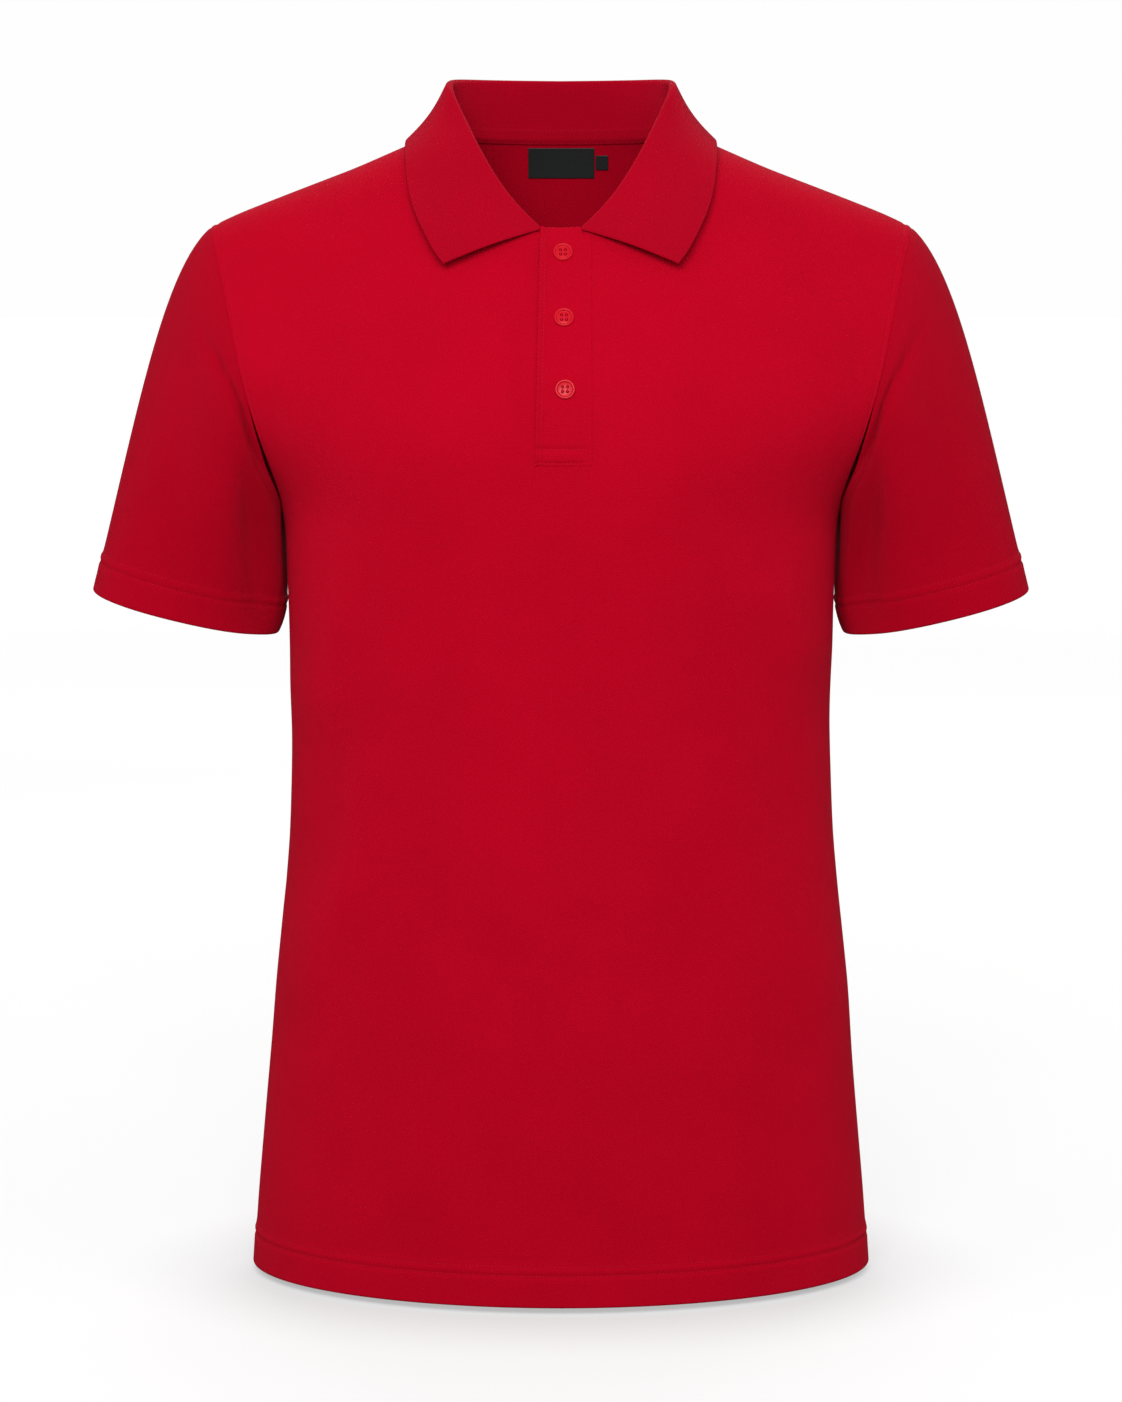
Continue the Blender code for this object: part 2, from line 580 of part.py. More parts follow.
# ---------------------------------------------------------------- walls and solids
def wall(outer, inner, closed=False, is_cloth=None):
    """Vertices and faces of a closed wall between two grids. is_cloth picks its cells, and
    each is split along the shorter diagonal, alike on both faces."""
    columns, rows = outer.shape[:2]
    spans = columns if closed else columns - 1
    cells = [(i, j) for i in range(spans) for j in range(rows - 1)]
    if is_cloth is not None:
        cells = [cell for cell in cells if is_cloth(*cell)]
    numbers = {}
    verts = []

    def vertex(layer, i, j):
        key = (layer, i, j)
        if key not in numbers:
            numbers[key] = len(verts)
            verts.append(tuple((outer, inner)[layer][i, j]))
        return numbers[key]

    faces = []
    edges = {}
    for i, j in cells:
        after = (i + 1) % columns
        ring = [(i, j), (after, j), (after, j + 1), (i, j + 1)]
        rising = np.linalg.norm(outer[after, j + 1] - outer[i, j])
        falling = np.linalg.norm(outer[i, j + 1] - outer[after, j])
        turned = ring if rising <= falling else ring[1:] + ring[:1]
        for half in (turned[:3], turned[2:] + turned[:1]):
            faces.append([vertex(0, *corner) for corner in half])
            faces.append([vertex(1, *corner) for corner in reversed(half)])
        for a, b in zip(ring, ring[1:] + ring[:1]):
            if (b, a) in edges:
                del edges[(b, a)]
            else:
                edges[(a, b)] = True
    for a, b in edges:
        faces.append([vertex(0, *b), vertex(0, *a), vertex(1, *a), vertex(1, *b)])
    return verts, faces


def hem_walls(rows, band):
    """Outward shift and thickness for each row of a piece with a turned hem."""
    proud = np.zeros(rows)
    thick = np.full(rows, WALL)
    proud[list(band)] = HEM_PROUD
    thick[list(band)] = HEM_WALL + HEM_PROUD
    return proud, thick


def paint(name, colour, roughness):
    material = bpy.data.materials.get(name) or bpy.data.materials.new(name)
    material.use_nodes = True
    shader = material.node_tree.nodes["Principled BSDF"]
    shader.inputs["Base Color"].default_value = colour
    shader.inputs["Roughness"].default_value = roughness
    shader.inputs["Metallic"].default_value = 0.0
    return material


def add_solid(name, shape, material):
    verts, faces = shape
    mesh = bpy.data.meshes.new(name)
    mesh.from_pydata(verts, [], faces)
    body = bmesh.new()
    body.from_mesh(mesh)
    bmesh.ops.recalc_face_normals(body, faces=body.faces)
    if body.calc_volume(signed=True) < 0:
        bmesh.ops.reverse_faces(body, faces=body.faces)
    body.to_mesh(mesh)
    body.free()
    mesh.shade_smooth()
    mesh.set_sharp_from_angle(angle=math.radians(40))
    mesh.materials.append(material)
    solid = bpy.data.objects.new(name, mesh)
    bpy.context.collection.objects.link(solid)
    return solid


# ---------------------------------------------------------------- what lies on the panels
def patch(side, across, bottom, tops, out, lean=0.0):
    """Grid of points on a panel's faces at the given places across, moved outwards. Its
    rows are the panel's own rows between its two ends. tops is one height or one for each
    place, and the first place leans in by lean from bottom to top."""
    grid, _ = panel_grid(side)
    centre = grid[len(grid) // 2, :, 2]
    tops = np.broadcast_to(tops, len(across))
    rows = np.flatnonzero((centre > bottom + PATCH_MARGIN) & (centre < tops.min() - PATCH_MARGIN))
    leans = np.zeros(len(across))
    leans[0] = lean
    points = np.zeros((len(across), len(rows) + 2, 3))
    for i, (foot, top) in enumerate(zip(across, tops)):
        places = foot + leans[i] * (centre - bottom) / (top - bottom)
        column = np.array([[np.interp(x, grid[:, j, 0], grid[:, j, axis]) for axis in (1, 2)]
                           for j, x in enumerate(places)])
        heights = np.concatenate([[bottom], column[rows, 1], [top]])
        slope = (column[-1, 0] - column[-2, 0]) / (column[-1, 1] - column[-2, 1])
        depth = np.interp(heights, column[:, 1], column[:, 0])
        depth += slope * np.maximum(0.0, heights - column[-1, 1])
        x = foot + leans[i] * (heights - bottom) / (top - bottom)
        points[i] = np.stack([x, depth, heights], axis=1)
    return points + body_normals(side, points) * out


def places_between(side, left, right):
    """Both edges of a patch near the neck, and the panel's columns between them."""
    grid, _ = panel_grid(side)
    columns = grid[:, -2, 0]
    inside = columns[(columns > left + PATCH_MARGIN) & (columns < right - PATCH_MARGIN)]
    return np.concatenate([[left], inside, [right]])


def build_plackets(material):
    top = np.array([
        PLACKET_LEFT, -TAB_FOOT_HALF, -TAB_TOP_HALF, 0.0, TAB_TOP_HALF, TAB_FOOT_HALF, PLACKET_RIGHT])
    heights = np.where(np.abs(top) <= TAB_TOP_HALF, PLACKET_TAB, PLACKET_TOP)
    under = np.array([-UNDER_HALF_WIDTH, -SLIT_HALF_WIDTH, 0.0, SLIT_HALF_WIDTH, UNDER_HALF_WIDTH])
    near = patch(FRONT, top, PLACKET_FOOT, heights, GAP, PLACKET_LEAN)
    far = patch(FRONT, top, PLACKET_FOOT, heights, GAP + PLACKET_WALL, PLACKET_LEAN)
    add_solid("placket_top", wall(far, near), material)
    near = patch(FRONT, under, PLACKET_FOOT, PLACKET_TOP, -WALL - GAP)
    far = patch(FRONT, under, PLACKET_FOOT, PLACKET_TOP, -WALL - GAP - WALL)
    add_solid("placket_under", wall(near, far), material)


def build_labels(material):
    for name, row in LABELS.items():
        size = dict(zip(LABEL_NAMES, row))
        across = places_between(BACK, size["left"], size["right"])
        near = patch(BACK, across, size["bottom"], size["top"], -WALL - GAP - GAP)
        far = patch(BACK, across, size["bottom"], size["top"], -WALL - GAP - GAP - LABEL_WALL)
        add_solid(name, wall(near, far), material)


def build_buttons(material):
    angles = np.linspace(0.0, 2 * math.pi, BUTTON_SIDES, endpoint=False)
    for name, (x, z) in BUTTON_PLACES.items():
        point = body_points(FRONT, np.array([x]), np.array([z]))
        normal = body_normals(FRONT, point)[0]
        base = point[0] + normal * (GAP + PLACKET_WALL + GAP)
        right = unit(np.cross(normal, [0.0, 0.0, 1.0]))
        up = np.cross(right, normal)
        verts = []
        rings = []
        for radius, height in BUTTON_PROFILE:
            sides = BUTTON_SIDES if radius else 1
            rings.append(range(len(verts), len(verts) + sides))
            for angle in angles[:sides]:
                spoke = (right * math.cos(angle) + up * math.sin(angle)) * radius * BUTTON_RADIUS
                verts.append(tuple(base + normal * height * BUTTON_HEIGHT + spoke))
        faces = []
        for a, b in zip(rings, rings[1:]):
            for k in range(BUTTON_SIDES):
                corners = (a[k % len(a)], a[(k + 1) % len(a)], b[(k + 1) % len(b)], b[k % len(b)])
                faces.append(list(dict.fromkeys(corners)))
        add_solid(name, (verts, faces), material)


# ---------------------------------------------------------------- collar and neck tape
def collar_foot():
    """The wearer's left half of the neckline, from the middle of the back to the
    collar's front end: the middle of the wall's edge, and the way off the cloth."""
    back = neck_marks(BACK)
    front = neck_marks(FRONT)
    before = front[1]
    end = before + (front[2] - before) * (COLLAR_END - before[0]) / (front[2, 0] - before[0])
    front = np.concatenate([front[NECK_COLUMNS - 1:1:-1], [end]])
    points = np.concatenate([back, front])
    normals = np.concatenate([body_normals(BACK, back), body_normals(FRONT, front)])
    along = unit(np.gradient(points, axis=0))
    along[0] = np.array([1.0, 0.0, 0.0])
    away = unit(np.cross(normals, along))
    away *= np.sign(away[0, 2])
    return points - normals * WALL / 2, away


def collar_shares(foot):
    """Share of the way from the middle of the back to the front end, half at the shoulder."""
    length = np.concatenate([[0.0], np.cumsum(np.linalg.norm(np.diff(foot, axis=0), axis=1))])
    return np.interp(length, [0.0, length[NECK_COLUMNS], length[-1]], [0.0, 0.5, 1.0])


def collar_guides(shares):
    keys = column(COLLAR, COLLAR_NAMES, "share")
    guide = {name: natural_curve(keys, column(COLLAR, COLLAR_NAMES, name))(shares)
             for name in COLLAR_NAMES[1:]}
    crest = np.stack([guide["fold_x"], guide["fold_y"], guide["fold_z"]], axis=1)
    edge = np.stack([guide["edge_x"], guide["edge_y"], guide["edge_z"]], axis=1)
    return crest, edge, guide["bow"]


def collar_sections():
    """Middle line of the collar's cloth at each place along its half: up the stand, over
    the roll and down the leaf."""
    foot, away = collar_foot()
    crest, edge, bow = collar_guides(collar_shares(foot))
    along = unit(np.gradient(crest, axis=0))
    along[0] = np.array([1.0, 0.0, 0.0])
    out = unit(np.stack([-along[:, 1], along[:, 0], np.zeros(len(along))], axis=1))
    up = np.cross(along, out)
    centre = crest - up * (ROLL_RADIUS + COLLAR_WALL / 2)
    sections = []
    for i in range(len(foot)):
        turns = np.linspace(math.pi, 0.0, ROLL_STEPS + 1)[:, None]
        roll = centre[i] + (np.cos(turns) * out[i] + np.sin(turns) * up[i]) * ROLL_RADIUS
        stand_way = unit(roll[0] - foot[i])
        turned = math.sqrt(max(0.0, 1.0 - float(np.dot(away[i], stand_way)) ** 2))
        start = foot[i] + away[i] * (GAP + GAP + COLLAR_WALL / 2 * turned)
        t = np.linspace(0.0, 1.0, STAND_ROWS + 1)[:-1, None]
        stand = start * (1 - t) + roll[0] * t
        t = np.linspace(0.0, 1.0, LEAF_ROWS + 1)[1:, None]
        leaf_normal = unit(np.cross(along[i], roll[-1] - edge[i]))
        leaf_normal = leaf_normal * np.sign(np.dot(leaf_normal, out[i]))
        leaf = roll[-1] * (1 - t) + edge[i] * t + leaf_normal * bow[i] * np.sin(math.pi * t)
        sections.append(np.concatenate([stand, roll, leaf]))
    return np.array(sections)


def both_halves(half):
    return np.concatenate([half[:0:-1] * np.array([-1.0, 1.0, 1.0]), half])


def collar_sheet():
    """Middle of the whole collar's cloth and its unit normals, which point into the neck
    on the stand."""
    middle = both_halves(collar_sections())
    return middle, unit(np.cross(np.gradient(middle, axis=0), np.gradient(middle, axis=1)))


def build_collar(material):
    middle, normals = collar_sheet()
    half = COLLAR_WALL / 2
    add_solid("collar", wall(middle + normals * half, middle - normals * half), material)


def build_tape(material):
    """The strip inside the back neck, from shoulder to shoulder: below the seam it lies on
    the back and above it on the collar's stand."""
    middle, into_neck = collar_sheet()
    grid, normals = panel_grid(BACK)
    reach = np.arange(-NECK_COLUMNS, NECK_COLUMNS + 1)
    stand = middle[len(middle) // 2 + reach]
    off_stand = into_neck[len(middle) // 2 + reach, 0]
    cloth = grid[len(grid) // 2 + reach]
    off_cloth = -normals[len(grid) // 2 + reach, -1]
    up = unit(stand[:, 1] - stand[:, 0])
    down = unit(cloth[:, -2] - cloth[:, -1])
    between = unit(off_stand + off_cloth)
    lean = np.sum(between * off_stand, axis=1, keepdims=True)
    high = stand[:, 0] + up * TAPE_ABOVE + off_stand * (COLLAR_WALL / 2 + GAP + GAP)
    bend = stand[:, 0] + between * (COLLAR_WALL / 2 + GAP + GAP) / lean
    low = cloth[:, -1] + down * TAPE_BELOW + off_cloth * (WALL + GAP + GAP)
    near = np.stack([low, bend, high], axis=1)
    far = near + np.stack([off_cloth, between, off_stand], axis=1) * TAPE_WALL
    add_solid("neck_tape", wall(near, far), material)


def main():
    for thing in list(bpy.data.objects):
        bpy.data.objects.remove(thing, do_unlink=True)
    pique = paint("red_pique", RED, 0.85)
    knit = paint("red_flat_knit", RED, 0.85)
    tape = paint("red_tape", RED, 0.80)
    plastic = paint("red_button", BUTTON_RED, 0.30)
    satin = paint("black_label", BLACK, 0.55)
    build_panel(FRONT, "front", pique)
    build_panel(BACK, "back", pique)
    build_sleeve(1, "sleeve_right", pique)
    build_sleeve(-1, "sleeve_left", pique)
    build_collar(knit)
    build_tape(tape)
    build_plackets(pique)
    build_labels(satin)
    build_buttons(plastic)


main()
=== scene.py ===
"""Looks of the men's polo shirt: knitted cloth, sewing, buttons and the studio.

Metres, +Z up, in the frame of the solids. The front faces -Y and +X is the wearer's left.
Every sheet of cloth follows the form that its solid has, on a much finer grid.
"""

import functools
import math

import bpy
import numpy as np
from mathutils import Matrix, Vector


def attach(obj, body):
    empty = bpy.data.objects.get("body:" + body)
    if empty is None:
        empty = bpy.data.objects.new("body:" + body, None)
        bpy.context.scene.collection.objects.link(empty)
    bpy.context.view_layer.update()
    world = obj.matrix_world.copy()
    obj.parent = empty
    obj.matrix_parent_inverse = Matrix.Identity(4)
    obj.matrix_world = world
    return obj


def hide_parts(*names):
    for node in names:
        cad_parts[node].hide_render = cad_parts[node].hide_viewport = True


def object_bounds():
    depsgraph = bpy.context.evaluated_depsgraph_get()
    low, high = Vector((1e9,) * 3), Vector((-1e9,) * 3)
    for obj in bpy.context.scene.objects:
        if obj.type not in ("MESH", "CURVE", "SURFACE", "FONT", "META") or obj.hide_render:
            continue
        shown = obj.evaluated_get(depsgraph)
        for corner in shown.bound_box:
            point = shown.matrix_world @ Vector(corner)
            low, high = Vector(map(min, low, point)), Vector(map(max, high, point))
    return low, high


bl_info = {
    "name": "Polo Shirt",
    "version": (1, 0, 0),
    "blender": (4, 5, 0),
    "location": "3D View > Sidebar > Polo Shirt",
    "description": "Knitted cloth, sewing and buttons of a short-sleeved polo shirt, and its stage",
    "category": "Mesh",
}

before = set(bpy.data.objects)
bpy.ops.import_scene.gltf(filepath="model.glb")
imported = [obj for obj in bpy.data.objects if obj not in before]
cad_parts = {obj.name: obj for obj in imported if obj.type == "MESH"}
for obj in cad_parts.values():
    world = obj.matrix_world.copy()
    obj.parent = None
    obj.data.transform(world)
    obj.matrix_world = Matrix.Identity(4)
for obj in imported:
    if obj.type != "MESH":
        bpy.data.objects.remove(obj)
SOLID_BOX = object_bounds()

FRONT = -1
BACK = 1
HANDS = {"sleeve_right": 1.0, "sleeve_left": -1.0}

# ---------------------------------------------------------------- sizes shared with the solids
WALL = 0.0012
COLLAR_WALL = 0.0015
GAP = 0.0003
HEM_HEIGHT = -0.7136
HEM_FOLD = 0.0270
HEM_WALL = 0.0023
UNDERARM_HEIGHT = -0.2280
LEVEL_TOP = -0.2600
NECK_HALF_WIDTH = 0.0800
NECK_ROUNDNESS = 1.3
FRONT_NECK_DROP = 0.0600
BACK_NECK_DROP = 0.0030
SHOULDER_TIP = 0.2172
CUFF_FOLD = 0.0260
PLACKET_LEFT = -0.0155
PLACKET_LEAN = 0.0029
PLACKET_RIGHT = 0.0183
PLACKET_FOOT = -0.1970
PLACKET_TOP = -0.0614
PLACKET_WALL = 0.0014
SLIT_HALF_WIDTH = 0.0100
SLIT_FOOT = -0.1850
UNDER_HALF_WIDTH = 0.0165
COLLAR_END = 0.0118
ROLL_RADIUS = 0.0019
TAPE_ABOVE = 0.0062
TAPE_BELOW = 0.0030
LABEL_WALL = 0.0010
BUTTON_RADIUS = 0.0059
BUTTON_HEIGHT = 0.0026

# Where the columns of a half panel end, as numbered on its solid.
SLIT_COLUMN = 1
NECK_COLUMNS = 6
HALF_COLUMNS = 15
COLUMN_ENDS = (0, NECK_COLUMNS, 10, HALF_COLUMNS)
LEVEL_SHARES = (0.0, 0.36, 0.68, 1.0)

TORSO_SOFTNESS = 0.010
SHOULDER_SOFTNESS = 0.006
ARMHOLE_SOFTNESS = 0.004
TIP_REACH = 0.010
EDGE_DEPTH = 0.0005

TORSO_NAMES = ("height", "half_width", "front_depth", "back_depth", "roundness")
TORSO = (
    (-0.7136, 0.1962, 0.1188, 0.1150, 1.95),
    (-0.6700, 0.1932, 0.1168, 0.1125, 1.97),
    (-0.6000, 0.1868, 0.1138, 0.1070, 2.00),
    (-0.5150, 0.1784, 0.1112, 0.0985, 2.05),
    (-0.4390, 0.1716, 0.1100, 0.0915, 2.10),
    (-0.3630, 0.1688, 0.1112, 0.0930, 2.15),
    (-0.3000, 0.1704, 0.1165, 0.1015, 2.20),
    (-0.2550, 0.1720, 0.1222, 0.1100, 2.18),
    (-0.2280, 0.1730, 0.1243, 0.1140, 2.12),
    (-0.2075, 0.1880, 0.1250, 0.1165, 2.08),
    (-0.1770, 0.2200, 0.1242, 0.1185, 2.03),
    (-0.1500, 0.2440, 0.1220, 0.1190, 2.00),
    (-0.1200, 0.2540, 0.1165, 0.1185, 2.00),
    (-0.0800, 0.2570, 0.1080, 0.1170, 2.00),
    (-0.0400, 0.2575, 0.1020, 0.1150, 2.00),
    (0.0000, 0.2575, 0.0980, 0.1130, 2.00),
)

SHOULDER_NAMES = ("across", "front_edge", "back_edge", "roll")
SHOULDER = (
    (0.0000, 0.0020, 0.0450, 1.60),
    (0.0200, 0.0023, 0.0405, 1.60),
    (0.0400, 0.0029, 0.0290, 1.60),
    (0.0650, 0.0026, 0.0095, 1.62),
    (0.0800, 0.0006, 0.0006, 1.65),
    (0.0958, -0.0062, -0.0062, 1.68),
    (0.1268, -0.0198, -0.0198, 1.75),
    (0.1648, -0.0343, -0.0343, 1.82),
    (0.2009, -0.0484, -0.0484, 1.90),
    (0.2172, -0.0562, -0.0562, 1.95),
    (0.2400, -0.0700, -0.0700, 1.95),
)
ROLL_START = {FRONT: -0.200, BACK: -0.180}

ARMHOLE_NAMES = ("height", "front_across", "back_across")
ARMHOLE = (
    (-0.2280, 0.1730, 0.1730),
    (-0.2200, 0.1742, 0.1746),
    (-0.2075, 0.1774, 0.1785),
    (-0.1768, 0.1866, 0.1890),
    (-0.1512, 0.1936, 0.1968),
    (-0.1308, 0.1982, 0.2012),
    (-0.1067, 0.2036, 0.2060),
    (-0.0803, 0.2098, 0.2112),
    (-0.0640, 0.2148, 0.2150),
    (-0.0554, 0.2172, 0.2172),
)

CUFF_OUTER = (0.2925, -0.2822)
CUFF_INNER = (0.1797, -0.3118)
CUFF_OUTER_Y = -0.0040
CUFF_INNER_Y = 0.0190
CUFF_HALF_DEPTH = 0.0485
CUFF_FRONT_DROP = 0.0025
CUFF_ROUNDNESS = 2.15
APART_TURNS = (0.45, 0.85)
OWN_TURNS = (0.35, 0.70)
FLOW_NAMES = ("turn", "start_x", "start_y", "start_z", "start_length", "end_x", "end_length")
FLOW = (
    (0.00, 0.770, 0.000, -0.640, 0.040, 0.250, 0.110),
    (0.25, 0.680, -0.130, -0.720, 0.040, 0.250, 0.085),
    (0.50, 0.360, -0.100, -0.930, 0.050, 0.270, 0.055),
    (0.75, 0.200, 0.000, -0.980, 0.030, 0.330, 0.036),
    (1.00, 0.000, 0.000, -1.000, 0.030, 0.520, 0.025),
)
UNDERARM_BACK = 0.45
BACK_TURNS = (0.60, 1.00)

COLLAR_NAMES = ("share", "fold_x", "fold_y", "fold_z", "edge_x", "edge_y", "edge_z", "bow")
COLLAR = (
    (0.00, 0.0000, 0.0590, 0.0346, 0.0000, 0.0790, -0.0120, 0.0015),
    (0.14, 0.0270, 0.0555, 0.0348, 0.0380, 0.0720, -0.0115, 0.0015),
    (0.28, 0.0500, 0.0410, 0.0349, 0.0700, 0.0500, -0.0090, 0.0010),
    (0.40, 0.0658, 0.0200, 0.0345, 0.0890, 0.0240, -0.0050, -0.0010),
    (0.50, 0.0690, 0.0000, 0.0300, 0.0955, -0.0020, -0.0034, -0.0020),
    (0.62, 0.0605, -0.0200, 0.0113, 0.0952, -0.0330, -0.0165, 0.0010),
    (0.74, 0.0516, -0.0365, -0.0059, 0.0912, -0.0580, -0.0395, 0.0025),
    (0.86, 0.0356, -0.0540, -0.0314, 0.0822, -0.0775, -0.0600, 0.0030),
    (0.93, 0.0245, -0.0620, -0.0445, 0.0765, -0.0855, -0.0700, 0.0030),
    (1.00, 0.0118, -0.0690, -0.0567, 0.0706, -0.0915, -0.0776, 0.0025),
)

LABEL_NAMES = ("left", "right", "top", "bottom")
LABELS = {
    "label": (-0.0212, 0.0216, -0.0063, -0.0253),
    "size_tab": (0.0224, 0.0305, -0.0110, -0.0201),
}
BUTTON_PLACES = {  # across, height
    "button_1": (0.0012, -0.0721),
    "button_2": (0.0018, -0.1105),
    "button_3": (0.0024, -0.1523),
}

# ---------------------------------------------------------------- sizes of the cloth alone
HEM_PROUD = 0.0008         # how far a turned hem stands out, a little more than on its solid
PLACKET_TAB = -0.0562      # top of the placket's tab, which is a little wider than on its solid
TAB_FOOT_HALF = 0.0128
TAB_TOP_HALF = 0.0120
HEM_STEP = 0.0012          # how far the turned hem's edge takes to run out, less than on its solid
SEAM_EASE = 0.00001        # each edge keeps this far from its seam's middle plane
TAPE_WALL = 0.0007         # thinner than its solid
TAPE_REST = 0.0002         # between the tape and what it lies on

# ---------------------------------------------------------------- folds and creases
FOLD_FADE = 4.0            # how fast a fold dies out past its ends
FOLD_CORE = 0.35           # half of its length, as a share, that keeps its full height
FOLD_NAMES = ("side", "top_x", "top_z", "foot_x", "foot_z", "half_width", "height")
FOLDS = (
    # the solids have these ten too, with the first six lower
    (FRONT, -0.128, -0.262, -0.158, -0.372, 0.017, 0.0034),
    (FRONT, -0.138, -0.360, -0.160, -0.480, 0.016, -0.0032),
    (FRONT, -0.128, -0.430, -0.168, -0.560, 0.018, 0.0031),
    (FRONT, 0.126, -0.258, 0.156, -0.335, 0.016, 0.0031),
    (FRONT, 0.124, -0.350, 0.162, -0.500, 0.017, -0.0031),
    (FRONT, 0.148, -0.410, 0.176, -0.580, 0.018, 0.0028),
    (BACK, -0.120, -0.270, -0.150, -0.395, 0.018, 0.0024),
    (BACK, -0.092, -0.330, -0.135, -0.500, 0.020, -0.0024),
    (BACK, 0.118, -0.262, 0.152, -0.380, 0.018, 0.0024),
    (BACK, 0.096, -0.345, 0.132, -0.520, 0.020, -0.0022),
    # only the cloth has these: a broad ridge on each side of the chest, then finer creases
    (FRONT, -0.138, -0.190, -0.046, -0.198, 0.034, 0.0028),
    (FRONT, 0.046, -0.196, 0.138, -0.186, 0.034, 0.0028),
    (FRONT, -0.012, -0.205, 0.002, -0.262, 0.009, -0.0008),
    (FRONT, -0.0238, -0.100, -0.0218, -0.186, 0.0056, -0.0032),
    (FRONT, -0.060, -0.245, -0.100, -0.262, 0.012, -0.0005),
    (FRONT, 0.045, -0.238, 0.090, -0.262, 0.012, -0.0005),
    (FRONT, -0.182, -0.110, -0.172, -0.200, 0.007, -0.0009),
    (FRONT, 0.184, -0.105, 0.172, -0.196, 0.007, -0.0009),
    (FRONT, -0.090, -0.600, -0.100, -0.700, 0.016, 0.0006),
    (FRONT, 0.070, -0.590, 0.084, -0.700, 0.018, 0.0006),
    (BACK, -0.184, -0.100, -0.170, -0.200, 0.008, -0.0010),
    (BACK, 0.182, -0.110, 0.172, -0.204, 0.008, -0.0010),
    (BACK, -0.150, -0.180, -0.070, -0.235, 0.012, -0.0008),
    (BACK, 0.148, -0.176, 0.066, -0.228, 0.012, -0.0008),
    (BACK, -0.060, -0.590, -0.075, -0.700, 0.018, 0.0007),
    (BACK, 0.086, -0.600, 0.098, -0.700, 0.016, 0.0007),
)
SLEEVE_FOLD_NAMES = ("start_turn", "end_turn", "start", "end", "half_width", "height")
SLEEVE_FOLDS = (            # turns round the sleeve, shares of the way from armhole to cuff
    (0.76, 0.31, 0.00, 0.13, 0.065, -0.0046),
    (0.62, 0.62, 0.00, 0.10, 0.160, -0.0030),
    (0.68, 0.80, 0.16, 0.95, 0.120, -0.0084),
    (0.30, 0.42, 0.10, 0.80, 0.060, -0.0008),
    (1.18, 1.58, 0.01, 0.16, 0.090, -0.0020),
    (1.14, 1.54, 0.08, 0.26, 0.090, 0.0012),
    (1.32, 1.20, 0.20, 0.90, 0.100, -0.0040),
    (1.70, 1.58, 0.10, 0.75, 0.060, -0.0008),
)

# ---------------------------------------------------------------- fine grids and sewing lines
COARSE = 0.0038            # between grid points on plain cloth
FINE = 0.0011              # between grid points at hems, seams and stitch rows
STEP_GROWTH = 0.22         # how fast the steps grow away from a fine zone
HEM_ZONE = 0.0290
SEAM_ZONE = 0.0055
RIM_STEPS = 4              # points round a quarter of a rounded edge
RIM_CLEAR = 1.25           # plain grid points start this many radii from a rounded edge
RIM_LEFT = 0.06            # share of its thickness that a rounded edge keeps at its very rim
SEAM_DIP = 0.00055         # how deep the cloth sinks at a seam
SEAM_SOFT = 0.0013
ALLOWANCE_LIFT = 0.00030   # the turned seam allowance lifts the cloth beside an armhole
TOPSTITCH = 0.0042         # armhole stitch row from its seam
ALLOWANCE_INNER = 0.001    # the lift runs out from this far before the row to this far past it
ALLOWANCE_OUTER = 0.002
ARMHOLE_FADE = 0.010       # height over which the armhole's relief starts above the underarm
HEM_ROWS = (0.0198, 0.0256)
CUFF_ROWS = (0.0190, 0.0250)
GROOVE_DEPTH = 0.00075
GROOVE_HALF_WIDTH = 0.0011
PUCKER_HEIGHT = 0.00016
PUCKER_LENGTH = 0.0125
PUCKER_REACH = 0.0060
PUCKER_WANDER = (1.3, 0.31)  # how far and at what pace the puckers' spacing wanders
PUCKER_SHARES = (0.6, 0.4)   # of the main puckers and of a second, closer set
PUCKER_SECOND = (1.7, 0.8)   # pace of the second set against the first, and its start
ARMHOLE_POINTS = 90
SLEEVE_ROWS = 56
COLLAR_COLUMN_STEP = 0.0022
COLLAR_END_STEP = 0.0006
STAND_ROWS = 12
ROLL_STEPS = 8
LEAF_ROWS = 26
PLACKET_STEP = 0.0011
PLACKET_EDGE_ROW = 0.0034  # stitch row inside the open edge of the placket
PLACKET_BOX_ROWS = (0.0012, 0.0096)
PLACKET_LIFT = 0.0020      # how far the open edge of the placket stands off
PLACKET_FOLD_RADIUS = 0.0011
PLACKET_BULGE = 0.0009     # how much thicker the cloth is at the placket's fold
PLACKET_FLAT = 0.22        # share of its thickness left where the placket's side is sewn down
TAB_DIP = 0.0007
PLACKET_LONG = 0.14        # about how long and how wide the placket is, to space its grid
PLACKET_WIDE = 0.033
PLACKET_FINE_SIDE = ((0.0, 0.15),)            # shares with a finer grid, and its steps
PLACKET_SIDE_STEP = 0.02
PLACKET_FINE_ENDS = ((0.0, 0.02), (0.98, 1.0))
PLACKET_END_STEP = 0.004
PLACKET_RIM_CLEAR = 1.2    # plain grid points start this many rims from the fold
PLACKET_FOLD_SOFT = 0.0016 # how far the fold's thicker cloth reaches
PLACKET_LIFT_REACH = 0.0040
PLACKET_LIFT_FOOT = (0.006, 0.030)
PLACKET_LIFT_TOP = (0.002, 0.016)
PLACKET_FLAT_REACH = 0.012
EDGE_ROW_DEPTH = 1.2       # depth of the edge row's groove, in GROOVE_DEPTH
BOX_ROW_DEPTH = 1.7
BOX_ROW_WIDTH = 1.2
BOX_ROW_END = (0.001, 0.003)
BUTTON_DENT = 0.35         # depth of the dent round a button, in GROOVE_DEPTH
BUTTON_DENT_REACH = 0.0045
GROOVE_LIMIT = 0.8         # share of its thickness that a groove may sink the placket
ROW_CLEAR = 0.0012         # box rows end this far from the placket's sides
TAPE_ROWS = (0.0009, 0.0011)  # stitch rows from the tape's lower and upper edges
TAPE_INSET = 0.0012
